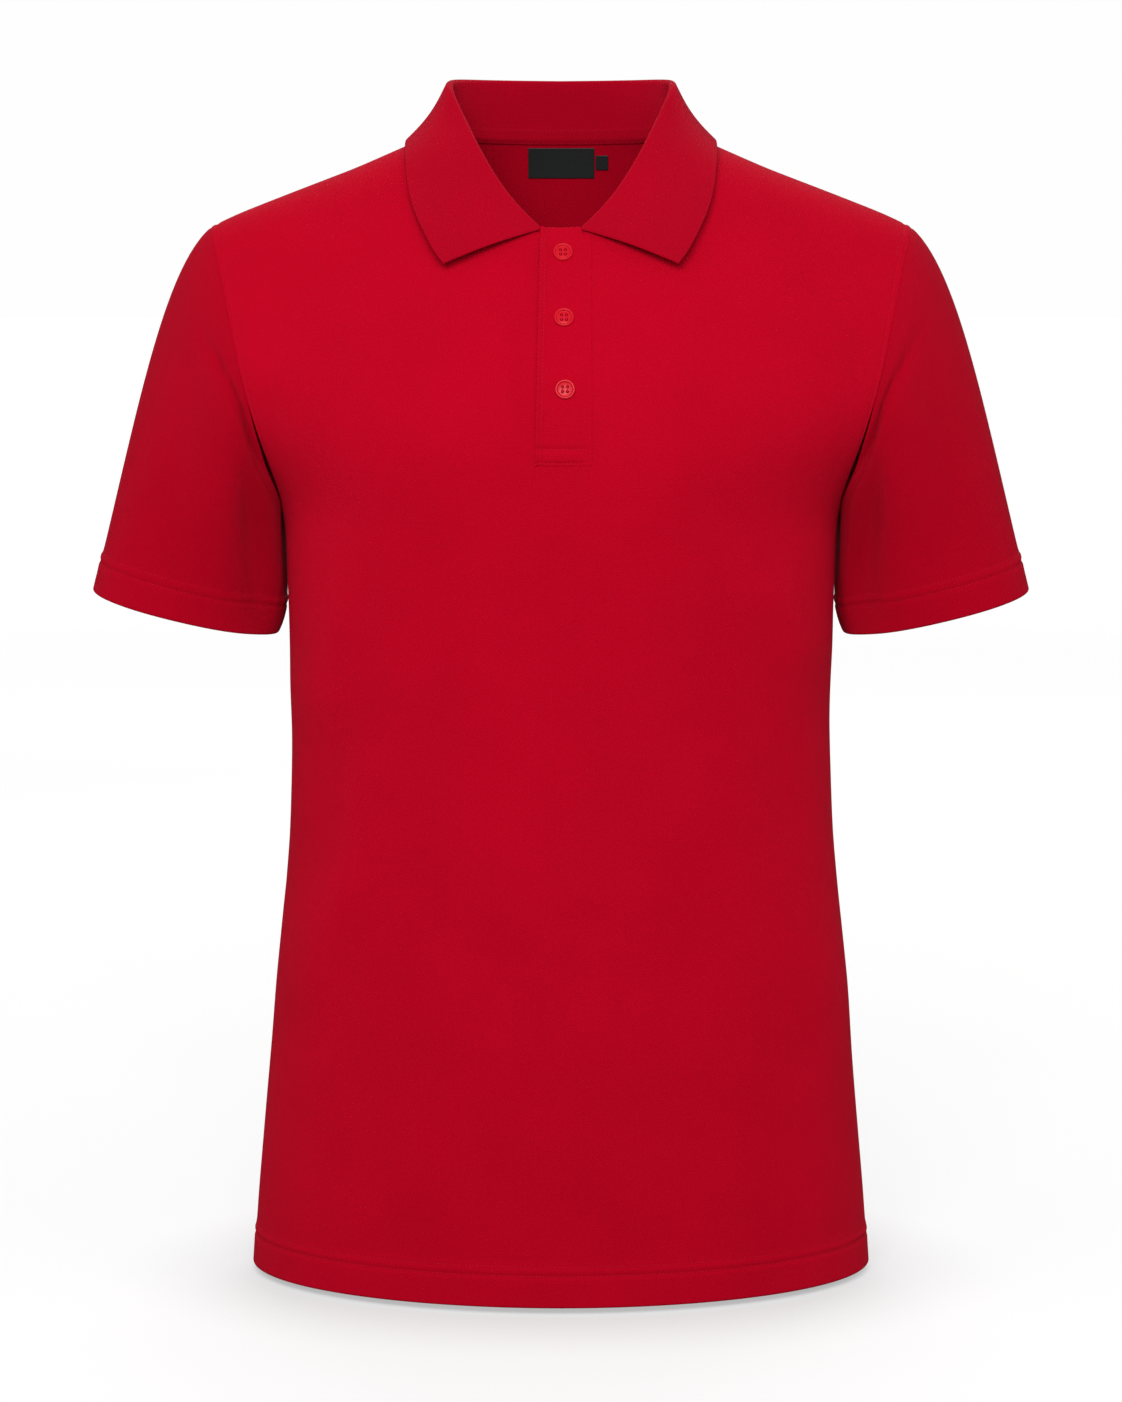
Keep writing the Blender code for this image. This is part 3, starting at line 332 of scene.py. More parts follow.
LABEL_SHARE = 0.7          # of its solid's thickness, for the label and its tab
LABEL_STEP = 0.0009
UNDER_STEP = 0.0018
SAMPLES_ALONG = 28         # steps when a flat length is measured
SMOOTH_ANGLE = 55          # cloth turns sharper than this stay sharp, in degrees

# ---------------------------------------------------------------- button, in shares of its size
BUTTON_RIM = 0.19          # of its radius
BUTTON_BANK = 0.09
BUTTON_STEP = 0.12
BUTTON_FOOT = 0.14
BUTTON_SINK = 0.52         # of its height
BUTTON_RAISE = 0.10
BUTTON_UNDER = 0.02
BUTTON_THREAD = 0.05
BUTTON_BEVEL = 0.00042     # metres
BUTTON_BEVEL_ANGLE = 25    # degrees
BUTTON_SHARP = 38
BUTTON_SIDES = 56
HOLE_SIDES = 20
FACING = 0.9               # a face with more of its normal along Z than this looks up or down
STITCH_FLAT = 0.8          # height of a stitch against its width
STITCH_PROUD = 0.12        # how far it stands off the cloth, in widths

# ---------------------------------------------------------------- knit, dye and painted shade
KNIT_DOTS = 0.34           # shares of the knit's relief
KNIT_COLUMNS = 0.45
RIB_RELIEF = 0.35
LOOP_RELIEF = 0.12
# The first share below is painted shade: the knit's hollows are drawn in a darker colour where the
# relief would shade them.
HOLLOW_SHADE_TONE = 0.75         # shares of the change from the cloth's colour to its hollow colour
MOTTLE_TONE = 0.25
MOTTLE_RANGE = (0.3, 0.7)
CRUMPLE_RELIEF = 0.0012
CRUMPLE_STRENGTH = 0.35
FINER_CRUMPLE = 2.2        # how much finer the crumple is than the mottle
# The rib, tape and thread tones below are painted shade, drawn into the hollows of the collar's
# ribs, the tape's weave and the thread's twist; the button's tone is its own clouds.
RIB_SHADE = 0.72           # tones against the full colour
TAPE_SHADE = 0.7
THREAD_SHADE = 0.72
BUTTON_SHADE = 0.78
LABEL_PAINTED_SHINE = 1.7
BUTTON_GLOSS = (0.28, 0.38)
KNIT_GRAIN = 420.0         # scales of the fine patterns
THREAD_TWIST = 700.0
BUTTON_CLOUDS = 260.0
RIB_RELIEF_SHARE = 0.8     # relief of the ribs against the knit's
TAPE_WEAVE = {"Rib": 0.0016, "Loop": 0.0012, "Slant": 0.8}
LABEL_WEAVE = {"Rib": 0.0007, "Loop": 0.0009, "Slant": 0.5}

# ---------------------------------------------------------------- floor
FLOOR_REACH = 5.0
FLOOR_GLOW = (              # distance from the high point of the shoulders, own light
    (0.72, 0.662),
    (1.19, 0.698),
    (1.75, 0.702),
    (2.40, 0.715),
    (3.10, 0.795),
    (4.20, 0.862),
)

# ---------------------------------------------------------------- lights
LIGHT_NAMES = ("name", "x", "y", "z", "width", "height", "power")
LIGHTS = (
    ("key_light", -0.15, -1.50, 0.46, 0.8, 0.5, "key_power"),
    ("fill_light", 0.15, -2.00, 0.45, 1.6, 0.6, "fill_power"),
    ("left_light", -1.50, -0.55, 0.05, 0.9, 0.4, "side_power"),
    ("right_light", 1.50, -0.55, 0.05, 0.9, 0.4, "side_power"),
    ("back_light", 0.20, 2.20, 1.40, 2.4, 1.2, "back_power"),
)
LIGHT_AIM = (0.0, 0.0, -0.30)


# ---------------------------------------------------------------- settings
class PoloClothSettings(bpy.types.PropertyGroup):
    """Colours and knit of the cloth."""

    colour: bpy.props.FloatVectorProperty(
        name="Cloth colour", description="Dyed cotton of the body, sleeves and collar",
        subtype="COLOR", size=4, min=0.0, max=1.0, default=(0.520, 0.0008, 0.0165, 1.0))
    # Painted shade: the collar is kept darker than the body, though it has the same dye, so that it
    # does not come out lighter under the light from above.
    shaded_collar_colour: bpy.props.FloatVectorProperty(
        name="Collar colour", description="The same dye on the collar's denser knit",
        subtype="COLOR", size=4, min=0.0, max=1.0, default=(0.450, 0.0007, 0.0145, 1.0))
    # Painted shade: the sleeves get a darker copy of the body's colour, for the light that falls
    # less on them.
    painted_sleeve_shade: bpy.props.FloatProperty(
        name="Sleeve tone", description="Tone of the sleeves' cloth against the body's",
        subtype="FACTOR", min=0.0, max=1.0, default=0.88)
    # Painted shade: the darker colour drawn into the knit's hollows, where its relief would shade
    # them; the dye is the same.
    hollow_shade_colour: bpy.props.FloatVectorProperty(
        name="Hollow colour", description="Cloth in the hollows of the knit",
        subtype="COLOR", size=4, min=0.0, max=1.0, default=(0.400, 0.0004, 0.0110, 1.0))
    sheen_colour: bpy.props.FloatVectorProperty(
        name="Sheen colour", description="Fine fibre ends where the cloth turns away",
        subtype="COLOR", size=4, min=0.0, max=1.0, default=(1.0, 0.10, 0.18, 1.0))
    sheen: bpy.props.FloatProperty(
        name="Sheen", description="Strength of the fibre ends", subtype="FACTOR",
        min=0.0, max=1.0, default=0.08)
    roughness: bpy.props.FloatProperty(
        name="Roughness", description="Dullness of the knit", subtype="FACTOR",
        min=0.0, max=1.0, default=0.85)
    wale: bpy.props.FloatProperty(
        name="Wale", description="Width of one column of the knit", unit="LENGTH",
        min=0.0004, max=0.004, precision=5, default=0.0014)
    course: bpy.props.FloatProperty(
        name="Course", description="Height of one row of the knit", unit="LENGTH",
        min=0.0004, max=0.004, precision=5, default=0.0017)
    relief: bpy.props.FloatProperty(
        name="Relief", description="Depth of the knit", unit="LENGTH",
        min=0.0, max=0.002, precision=5, default=0.00046)
    rib: bpy.props.FloatProperty(
        name="Collar rib", description="Width of one rib of the flat-knit collar", unit="LENGTH",
        min=0.0004, max=0.004, precision=5, default=0.0011)


class PoloTrimSettings(bpy.types.PropertyGroup):
    """Buttons, thread, tape and label."""

    button_colour: bpy.props.FloatVectorProperty(
        name="Button colour", description="Polished plastic of the buttons",
        subtype="COLOR", size=4, min=0.0, max=1.0, default=(0.58, 0.004, 0.016, 1.0))
    thread_colour: bpy.props.FloatVectorProperty(
        name="Thread colour", description="Sewing thread",
        subtype="COLOR", size=4, min=0.0, max=1.0, default=(0.56, 0.005, 0.024, 1.0))
    tape_colour: bpy.props.FloatVectorProperty(
        name="Tape colour", description="Strip over the neck seam",
        subtype="COLOR", size=4, min=0.0, max=1.0, default=(0.44, 0.0010, 0.014, 1.0))
    label_colour: bpy.props.FloatVectorProperty(
        name="Label colour", description="Woven satin of the bare label",
        subtype="COLOR", size=4, min=0.0, max=1.0, default=(0.016, 0.018, 0.018, 1.0))
    stitch_pitch: bpy.props.FloatProperty(
        name="Stitch pitch", description="From one stitch to the next", unit="LENGTH",
        min=0.001, max=0.006, precision=5, default=0.0023)
    stitch_length: bpy.props.FloatProperty(
        name="Stitch length", description="Thread of one stitch that shows", unit="LENGTH",
        min=0.0005, max=0.005, precision=5, default=0.0015)
    thread_width: bpy.props.FloatProperty(
        name="Thread width", description="Width of the sewing thread", unit="LENGTH",
        min=0.0001, max=0.001, precision=5, default=0.00036)
    hole_radius: bpy.props.FloatProperty(
        name="Hole radius", description="Radius of the four holes in a button", unit="LENGTH",
        min=0.0002, max=0.0014, precision=5, default=0.00105)
    hole_offset: bpy.props.FloatProperty(
        name="Hole offset", description="From a button's middle to a hole, across and up",
        unit="LENGTH", min=0.0005, max=0.003, precision=5, default=0.00148)


class PoloStageSettings(bpy.types.PropertyGroup):
    """Floor, lights and camera."""

    floor_colour: bpy.props.FloatVectorProperty(
        name="Floor colour", description="Plain pale floor", subtype="COLOR", size=4,
        min=0.0, max=1.0, default=(0.28, 0.28, 0.28, 1.0))
    floor_size: bpy.props.FloatProperty(
        name="Floor size", description="Side of the square floor", unit="LENGTH",
        min=1.0, default=40.0)
    floor_drop: bpy.props.FloatProperty(
        name="Floor drop", description="From the hem down to the floor", unit="LENGTH",
        min=0.0, max=0.1, precision=4, default=0.004)
    floor_glow: bpy.props.FloatProperty(
        name="Floor glow", description="Share of the floor's own light that the camera sees",
        min=0.0, max=3.0, default=1.0)
    # Painted contact shadow: the floor's own glow is dimmed close under the hem.
    painted_contact_shade: bpy.props.FloatProperty(
        name="Contact shade", description="How much the floor's light fades close under the hem",
        subtype="FACTOR", min=0.0, max=1.0, default=0.62)
    contact_reach: bpy.props.FloatProperty(
        name="Contact reach", description="How far from the hem the floor's light fades",
        unit="LENGTH", min=0.0, max=0.5, default=0.10)
    ambient: bpy.props.FloatProperty(
        name="Ambient", description="Strength of the white surroundings as light",
        min=0.0, max=3.0, default=0.46)
    backdrop: bpy.props.FloatProperty(
        name="Backdrop", description="Brightness of the white surroundings in view",
        min=0.0, max=3.0, default=0.99)
    key_power: bpy.props.FloatProperty(
        name="Key power", description="Power of the light above the chest, to its left",
        unit="POWER", min=0.0, default=16.6)
    fill_power: bpy.props.FloatProperty(
        name="Fill power", description="Power of the wider light farther off, to the right",
        unit="POWER", min=0.0, default=11.0)
    side_power: bpy.props.FloatProperty(
        name="Side power", description="Power of each light at the sides", unit="POWER",
        min=0.0, default=3.5)
    back_power: bpy.props.FloatProperty(
        name="Back power", description="Power of the soft light above the back", unit="POWER",
        min=0.0, default=42.0)
    lens: bpy.props.FloatProperty(
        name="Lens", description="Focal length", subtype="DISTANCE_CAMERA", unit="CAMERA",
        min=10.0, default=106.77)
    camera_distance: bpy.props.FloatProperty(
        name="Camera distance", description="From the camera to the shirt's middle plane",
        unit="LENGTH", min=0.5, default=2.6)
    camera_height: bpy.props.FloatProperty(
        name="Camera height", description="Above the high point of the shoulders",
        unit="LENGTH", default=-0.0341)
    camera_pitch: bpy.props.FloatProperty(
        name="Camera pitch", description="How far the camera looks down", subtype="ANGLE",
        default=math.radians(7.0))


# ---------------------------------------------------------------- curves from tables
def column(table, names, name):
    return np.array([row[names.index(name)] for row in table], dtype=float)


def ease(value, start, end):
    """0 up to start, 1 from end, and smooth between."""
    t = np.clip((value - start) / (end - start), 0.0, 1.0)
    return t * t * (3.0 - 2.0 * t)


def bell(value, middle, half_width):
    return np.exp(-((value - middle) / half_width) ** 2)


class SoftCurve:
    """A rounded curve through a few values: straight runs, averaged three times."""

    STEP = 0.0005

    def __init__(self, keys, values, softness):
        reach = 4 * softness
        self.keys = np.arange(keys[0] - reach, keys[-1] + reach, self.STEP)
        dense = np.interp(self.keys, keys, values)
        before = np.minimum(self.keys - keys[0], 0)
        after = np.maximum(self.keys - keys[-1], 0)
        dense += before * (values[1] - values[0]) / (keys[1] - keys[0])
        dense += after * (values[-1] - values[-2]) / (keys[-1] - keys[-2])
        half = int(softness / self.STEP)
        box = np.ones(2 * half + 1) / (2 * half + 1)
        for _ in range(3):
            padded = np.pad(dense, half, mode="reflect", reflect_type="odd")
            dense = np.convolve(padded, box, "valid")
        self.values = dense

    def __call__(self, at):
        return np.interp(at, self.keys, self.values)


def natural_curve(keys, values):
    """Natural cubic through a few values."""
    count = len(keys)
    gaps = np.diff(keys)
    slopes = np.diff(values) / gaps
    matrix = np.eye(count)
    right = np.zeros(count)
    for i in range(1, count - 1):
        matrix[i, i - 1:i + 2] = gaps[i - 1], 2 * (gaps[i - 1] + gaps[i]), gaps[i]
        right[i] = 6 * (slopes[i] - slopes[i - 1])
    bend = np.linalg.solve(matrix, right)

    def curve(at):
        i = np.clip(np.searchsorted(keys, at) - 1, 0, count - 2)
        a = (keys[i + 1] - at) / gaps[i]
        b = (at - keys[i]) / gaps[i]
        cubic = (a ** 3 - a) * bend[i] + (b ** 3 - b) * bend[i + 1]
        return a * values[i] + b * values[i + 1] + cubic * gaps[i] ** 2 / 6

    return curve


def table_curve(table, names, key, name, softness):
    return SoftCurve(column(table, names, key), column(table, names, name), softness)


def shoulder_curve(name):
    across = column(SHOULDER, SHOULDER_NAMES, "across")
    values = column(SHOULDER, SHOULDER_NAMES, name)
    both = np.concatenate([-across[:0:-1], across])
    return SoftCurve(both, np.concatenate([values[:0:-1], values]), SHOULDER_SOFTNESS)


HALF_WIDTH = table_curve(TORSO, TORSO_NAMES, "height", "half_width", TORSO_SOFTNESS)
ROUNDNESS = table_curve(TORSO, TORSO_NAMES, "height", "roundness", TORSO_SOFTNESS)
DEPTH = {
    FRONT: table_curve(TORSO, TORSO_NAMES, "height", "front_depth", TORSO_SOFTNESS),
    BACK: table_curve(TORSO, TORSO_NAMES, "height", "back_depth", TORSO_SOFTNESS),
}
ARMHOLE_ACROSS = {
    FRONT: table_curve(ARMHOLE, ARMHOLE_NAMES, "height", "front_across", ARMHOLE_SOFTNESS),
    BACK: table_curve(ARMHOLE, ARMHOLE_NAMES, "height", "back_across", ARMHOLE_SOFTNESS),
}
SHOULDER_EDGE = {FRONT: shoulder_curve("front_edge"), BACK: shoulder_curve("back_edge")}
ROLL = shoulder_curve("roll")


def unit(vectors):
    return vectors / np.linalg.norm(vectors, axis=-1, keepdims=True)


def running(points, axis=0):
    """Length run along a grid's lines up to each of its points."""
    steps = np.linalg.norm(np.diff(points, axis=axis), axis=-1)
    start = np.zeros_like(np.take(steps, [0], axis=axis))
    return np.concatenate([start, np.cumsum(steps, axis=axis)], axis=axis)


def points_at(at, length, points):
    """Points of a curve at lengths along it, where length runs with its points."""
    return np.stack([np.interp(at, length, points[:, axis]) for axis in range(3)], axis=1)


def resample(points, shares):
    """Points at the given shares of a curve's length."""
    length = running(points)
    return points_at(np.asarray(shares) * length[-1], length, points)


def stations(length, coarse, zones, fine=FINE):
    """Places along a length, close together in the zones and wider away from them."""
    at = np.linspace(0.0, length, 4000)
    away = np.min([np.maximum(0.0, np.maximum(a - at, at - b)) for a, b in zones], axis=0)
    steps = np.minimum(coarse, fine + away * STEP_GROWTH)
    count = np.concatenate([[0.0], np.cumsum(np.diff(at) / steps[1:])])
    return np.interp(np.linspace(0.0, count[-1], math.ceil(count[-1]) + 1), count, at)


def rim_places(radius):
    """Distances from an edge that round it off."""
    return radius * (1.0 - np.cos(np.linspace(0.0, math.pi / 2, RIM_STEPS + 1)))


def rimmed(places, radius):
    """Places from an edge, with those that round it off put in."""
    return np.concatenate([rim_places(radius), places[places > radius * RIM_CLEAR]])


def rimmed_both(length, step, radius):
    """Places a step apart along a length, with those that round off both of its ends."""
    places = rimmed(stations(length, step, [(0.0, length)], fine=step), radius)
    inside = places[places < length - radius * RIM_CLEAR]
    return np.concatenate([inside, length - rim_places(radius)[::-1]])


def rim_share(distance, radius):
    """Share of its full thickness that cloth with a round edge has at a distance from it."""
    t = np.clip(1.0 - distance / radius, 0.0, 1.0)
    return np.maximum(RIM_LEFT, np.sqrt(1.0 - t ** 2))


# ---------------------------------------------------------------- the body's form
def body_depth(side, x, z):
    """How far the body's face lies from the middle plane, without folds."""
    across = np.clip(np.abs(x) / HALF_WIDTH(z), 0.0, 1.0)
    roundness = ROUNDNESS(z)
    section = (1.0 - across ** roundness) ** (1.0 / roundness)
    start = ROLL_START[side]
    rise = np.clip((z - start) / (SHOULDER_EDGE[side](x) - start), 0.0, 1.0)
    return DEPTH[side](z) * section * (1.0 - rise ** 2) ** (1.0 / ROLL(x))


def body_points(side, x, z):
    return np.stack([x, side * body_depth(side, x, z), z], axis=-1)


def body_normals(side, points):
    """Unit outward normals of the body's form at points on it."""
    step = 0.00002
    x = points[..., 0]
    z = points[..., 2]
    depth = np.abs(points[..., 1])
    slope_x = (body_depth(side, x + step, z) - body_depth(side, x - step, z)) / (2 * step)
    slope_z = (body_depth(side, x, z + step) - body_depth(side, x, z - step)) / (2 * step)
    normals = np.stack([-slope_x, np.full_like(x, side), -slope_z], axis=-1)
    sign = np.sign(x)
    top_slope = (SHOULDER_EDGE[side](x + step) - SHOULDER_EDGE[side](x - step)) / (2 * step)
    top = np.stack([-top_slope, np.zeros_like(x), np.ones_like(x)], axis=-1)
    side_slope = (HALF_WIDTH(z + step) - HALF_WIDTH(z - step)) / (2 * step)
    flank = np.stack([sign, np.zeros_like(x), -side_slope], axis=-1)
    at_edge = depth < EDGE_DEPTH
    at_top = at_edge & (z > UNDERARM_HEIGHT / 2)
    normals = np.where(at_top[..., None], top, normals)
    normals = np.where((at_edge & ~at_top)[..., None], flank, normals)
    return unit(normals)


def fold_height(side, x, z):
    """Height of the folds and creases at points of a panel."""
    total = np.zeros_like(x)
    for row in FOLDS:
        fold = dict(zip(FOLD_NAMES, row))
        if fold["side"] != side:
            continue
        run_x = fold["foot_x"] - fold["top_x"]
        run_z = fold["foot_z"] - fold["top_z"]
        length = math.hypot(run_x, run_z)
        from_x = x - fold["top_x"]
        from_z = z - fold["top_z"]
        along = (from_x * run_x + from_z * run_z) / length ** 2
        off = (from_x * run_z - from_z * run_x) / length
        beyond = np.maximum(0.0, np.abs(along - 0.5) * 2.0 - FOLD_CORE)
        fade = FOLD_FADE * beyond ** 2 + (off / fold["half_width"]) ** 2
        total = total + fold["height"] * np.exp(-fade)
    return total


def folded_points(side, points):
    """Points of the body's form moved onto its folds, and its normals."""
    normals = body_normals(side, points)
    height = fold_height(side, points[..., 0], points[..., 2])
    return points + normals * height[..., None], normals


# ---------------------------------------------------------------- seams that pieces share
def neck_seam(side):
    """Dense neckline points from the middle to the high point of the shoulder."""
    turn = np.linspace(0.0, math.pi / 2, 400)
    drop = FRONT_NECK_DROP if side == FRONT else BACK_NECK_DROP
    x = NECK_HALF_WIDTH * np.sin(turn)
    z = SHOULDER_EDGE[side](NECK_HALF_WIDTH) - drop * np.cos(turn) ** NECK_ROUNDNESS
    return body_points(side, x, z)


def armhole_seam(side):
    """Armhole points from the shoulder tip to the underarm."""
    tip = SHOULDER_EDGE[side](SHOULDER_TIP)
    turn = np.linspace(0.0, math.pi, 600)
    z = UNDERARM_HEIGHT + (tip - UNDERARM_HEIGHT) * (1 + np.cos(turn)) / 2
    x = ARMHOLE_ACROSS[side](z)
    x += (SHOULDER_TIP - x[0]) * np.exp((z - z[0]) / TIP_REACH)
    x = np.minimum(x, HALF_WIDTH(z))
    x[-1] = HALF_WIDTH(z[-1])
    return resample(body_points(side, x, z), np.linspace(0.0, 1.0, ARMHOLE_POINTS + 1))


# ---------------------------------------------------------------- a sheet of cloth
class Cloth:
    """Two grids of points, [column][row], with the flat metres of each point."""

    def __init__(self, outer, inner, flat, closed=False, keep=None):
        self.outer = outer
        self.inner = inner
        self.flat = flat
        self.closed = closed
        self.keep = keep

    def cut(self):
        """Flat width and length, and the flat area."""
        grid = (self.outer + self.inner) / 2
        if self.closed:
            grid = np.concatenate([grid, grid[:1]])
        across = grid[1:, :-1] - grid[:-1, :-1]
        along = grid[:-1, 1:] - grid[:-1, :-1]
        cells = np.linalg.norm(np.cross(across, along), axis=-1)
        if self.keep is not None:
            cells = cells * self.keep
        width = np.ptp(self.flat[..., 0])
        length = np.ptp(self.flat[..., 1])
        return (float(width), float(length)), float(min(cells.sum(), width * length))

    def line(self, index_axis, places, at, lift=0.0):
        """The outer face's points where the distances in places reach a value, and its
        normals. index_axis 1 crosses every column and 0 every row."""
        outer = self.outer if index_axis == 1 else self.outer.transpose(1, 0, 2)
        inner = self.inner if index_axis == 1 else self.inner.transpose(1, 0, 2)
        places = places if index_axis == 1 else places.T
        points = []
        normals = []
        for top, bottom, place in zip(outer, inner, places):
            order = np.argsort(place)
            point = np.array([np.interp(at, place[order], top[order, k]) for k in range(3)])
            under = np.array([np.interp(at, place[order], bottom[order, k]) for k in range(3)])
            normal = unit(point - under)
            points.append(point + normal * lift)
            normals.append(normal)
        return np.array(points), np.array(normals)


def thick_cloth(middle, normals, half, flat, closed=False, keep=None):
    """Cloth with half of its thickness on each side of its middle."""
    off = normals * half[..., None]
    return Cloth(middle + off, middle - off, flat, closed, keep)


def mesh_object(name, points, faces, material):
    """A smooth object of its own mesh, in the scene."""
    mesh = bpy.data.meshes.new(name)
    mesh.from_pydata(points, [], faces)
    mesh.shade_smooth()
    mesh.materials.append(material)
    thing = bpy.data.objects.new(name, mesh)
    bpy.context.scene.collection.objects.link(thing)
    return thing


def sheet_object(name, cloth, material):
    """A closed thin shell from a sheet of cloth, with its flat metres as UV map."""
    columns, rows = cloth.outer.shape[:2]
    spans = columns if cloth.closed else columns - 1
    i, j = np.meshgrid(np.arange(spans), np.arange(rows - 1), indexing="ij")
    kept = np.ones_like(i, dtype=bool) if cloth.keep is None else cloth.keep
    i = i[kept]
    j = j[kept]
    flat = cloth.flat
    if cloth.closed:
        turn = 2 * flat[-1:, :, :] - flat[-2:-1, :, :]
        flat = np.concatenate([flat, turn])
    corners = ((0, 0), (1, 0), (1, 1), (0, 1))
    ring = np.stack([np.stack([i + right, j + up]) for right, up in corners])
    top = (ring[:, 0] % columns) * rows + ring[:, 1]
    below = top + columns * rows
    around = flat[ring[:, 0], ring[:, 1]]
    a, b = np.concatenate(top), np.concatenate(np.roll(top, -1, axis=0))
    flat_a, flat_b = np.concatenate(around), np.concatenate(np.roll(around, -1, axis=0))
    size = columns * rows
    open_edge = ~np.isin(b * size + a, a * size + b)
    a, b, flat_a, flat_b = a[open_edge], b[open_edge], flat_a[open_edge], flat_b[open_edge]
    rims = np.stack([b, a, a + size, b + size], axis=1)
    rim_flat = np.stack([flat_b, flat_a, flat_a, flat_b], axis=1)
    faces = np.concatenate([top.T, below.T[:, ::-1], rims])
    uvs = np.concatenate([around.transpose(1, 0, 2), around.transpose(1, 0, 2)[:, ::-1], rim_flat])
    points = np.concatenate([cloth.outer.reshape(-1, 3), cloth.inner.reshape(-1, 3)])
    used = np.zeros(len(points), dtype=bool)
    used[faces] = True
    faces = (np.cumsum(used) - 1)[faces]
    points = points[used]
    corner = points[faces[:, :3]]
    volume = np.einsum("ij,ij->i", corner[:, 0], np.cross(corner[:, 1], corner[:, 2])).sum()
    if volume < 0:
        faces = faces[:, ::-1]
        uvs = uvs[:, ::-1]
    thing = mesh_object(name, points.tolist(), faces.tolist(), material)
    layer = thing.data.uv_layers.new(name="flat")
    layer.data.foreach_set("uv", uvs.reshape(-1).astype(np.float32))
    thing.data.set_sharp_from_angle(angle=math.radians(SMOOTH_ANGLE))
    return thing


def both_halves(half):
    return np.concatenate([half[:0:-1] * np.array([-1.0, 1.0, 1.0]), half])


# ---------------------------------------------------------------- front and back
def level_section(side):
    """Shares of the half width round a level section, and the length run to each."""
    turn = np.linspace(0.0, math.pi / 2, 400)
    power = 2 / ROUNDNESS(LEVEL_TOP)
    x = np.sin(turn) ** power
    y = np.cos(turn) ** power
    steps = np.hypot(np.diff(x) * HALF_WIDTH(LEVEL_TOP), np.diff(y) * DEPTH[side](LEVEL_TOP))
    return x, np.concatenate([[0.0], np.cumsum(steps)])


def level_share(side, columns):
    """Where columns cross the level line, as shares of the half width."""
    x, length = level_section(side)
    share = np.interp(np.interp(columns, COLUMN_ENDS, LEVEL_SHARES) * length[-1], length, x)
    if side == FRONT:
        slit = SLIT_HALF_WIDTH / HALF_WIDTH(LEVEL_TOP)
        neck = np.interp(LEVEL_SHARES[1] * length[-1], length, x)
        near = np.interp(columns, (0, SLIT_COLUMN, NECK_COLUMNS), (0.0, slit, neck))
        share = np.where(columns < NECK_COLUMNS, near, share)
    return share


def column_tops(side, columns):
    """Top ends of columns, along the neckline and the shoulder seam."""
    seam = neck_seam(side)
    if side == FRONT:
        slit = np.interp(SLIT_HALF_WIDTH, seam[:, 0], running(seam)) / running(seam)[-1]
        shares = np.interp(columns, (0, SLIT_COLUMN, NECK_COLUMNS), (0.0, slit, 1.0))
    else:
        shares = np.clip(columns / NECK_COLUMNS, 0.0, 1.0)
    across = np.interp(columns, (NECK_COLUMNS, HALF_COLUMNS), (NECK_HALF_WIDTH, SHOULDER_TIP))
    shoulder = np.stack([across, np.zeros_like(across), SHOULDER_EDGE[side](across)], axis=1)
    return np.where((columns <= NECK_COLUMNS)[:, None], resample(seam, shares), shoulder)


def column_places(side):
    """Columns of a half panel, as numbered on the solid, closest at the side edge."""
    x, length = level_section(side)
    half = length[-1]
    at = stations(half, COARSE, [(half - SEAM_ZONE, half)])
    dense = np.linspace(0.0, HALF_COLUMNS, 900)
    columns = np.interp(np.interp(at, length, x), level_share(side, dense), dense)
    if side == FRONT:
        columns[np.abs(columns - SLIT_COLUMN).argmin()] = SLIT_COLUMN
    return columns


def half_panel(side):
    """Face of a half panel without folds, [column from the centre][row from the hem]."""
    columns = column_places(side)
    tops = column_tops(side, columns)
    shares = level_share(side, columns)
    hem = stations(LEVEL_TOP - HEM_HEIGHT, COARSE, [(0.0, HEM_ZONE)])
    heights = HEM_HEIGHT + rimmed(hem, (HEM_WALL + HEM_PROUD) / 2)
    rise = np.linspace(0.0, 1.0, 240)
    z = np.linspace(LEVEL_TOP, neck_seam(side)[0, 2], 300)
    inner = resample(body_points(side, np.zeros_like(z), z), rise)
    z = np.linspace(LEVEL_TOP, UNDERARM_HEIGHT, 20)[:-1]
    below = body_points(side, HALF_WIDTH(z), z)
    outer = resample(np.concatenate([below, armhole_seam(side)[::-1]]), rise)
    inner_run = inner[0] + (inner[-1] - inner[0]) * rise[:, None]
    outer_run = outer[0] + (outer[-1] - outer[0]) * rise[:, None]
    reach = running(inner)[-1]
    rows = stations(reach, COARSE, [(reach - SEAM_ZONE, reach)]) / reach
    grid = np.zeros((len(columns), len(heights) + len(rows) - 1, 3))
    for i, (top, share) in enumerate(zip(tops, shares)):
        grid[i, :len(heights)] = body_points(side, share * HALF_WIDTH(heights), heights)
        u = columns[i] / HALF_COLUMNS
        foot = grid[i, len(heights) - 1]
        dense = foot + (top - foot) * rise[:, None]
        dense = dense + (1 - u) * (inner - inner_run) + u * (outer - outer_run)
        dense = body_points(side, dense[:, 0], dense[:, 2])
        dense[-1] = top
        grid[i, len(heights) - 1:] = resample(dense, rows)
    return grid, columns


def flat_map(side, grid):
    """Metres across from the centre and up from the hem, along the cloth."""
    x = grid[..., 0]
    z = grid[..., 2]
    share = x / HALF_WIDTH(z)
    part = np.sin(np.linspace(0.0, math.pi / 2, SAMPLES_ALONG))
    lines = np.stack([body_points(side, x * t, z) for t in part])
    across = running(lines)[-1] * np.sign(x)
    heights = [HEM_HEIGHT + (z - HEM_HEIGHT) * t for t in part]
    lines = np.stack([body_points(side, share * HALF_WIDTH(h), h) for h in heights])
    return np.stack([across, running(lines)[-1]], axis=-1)


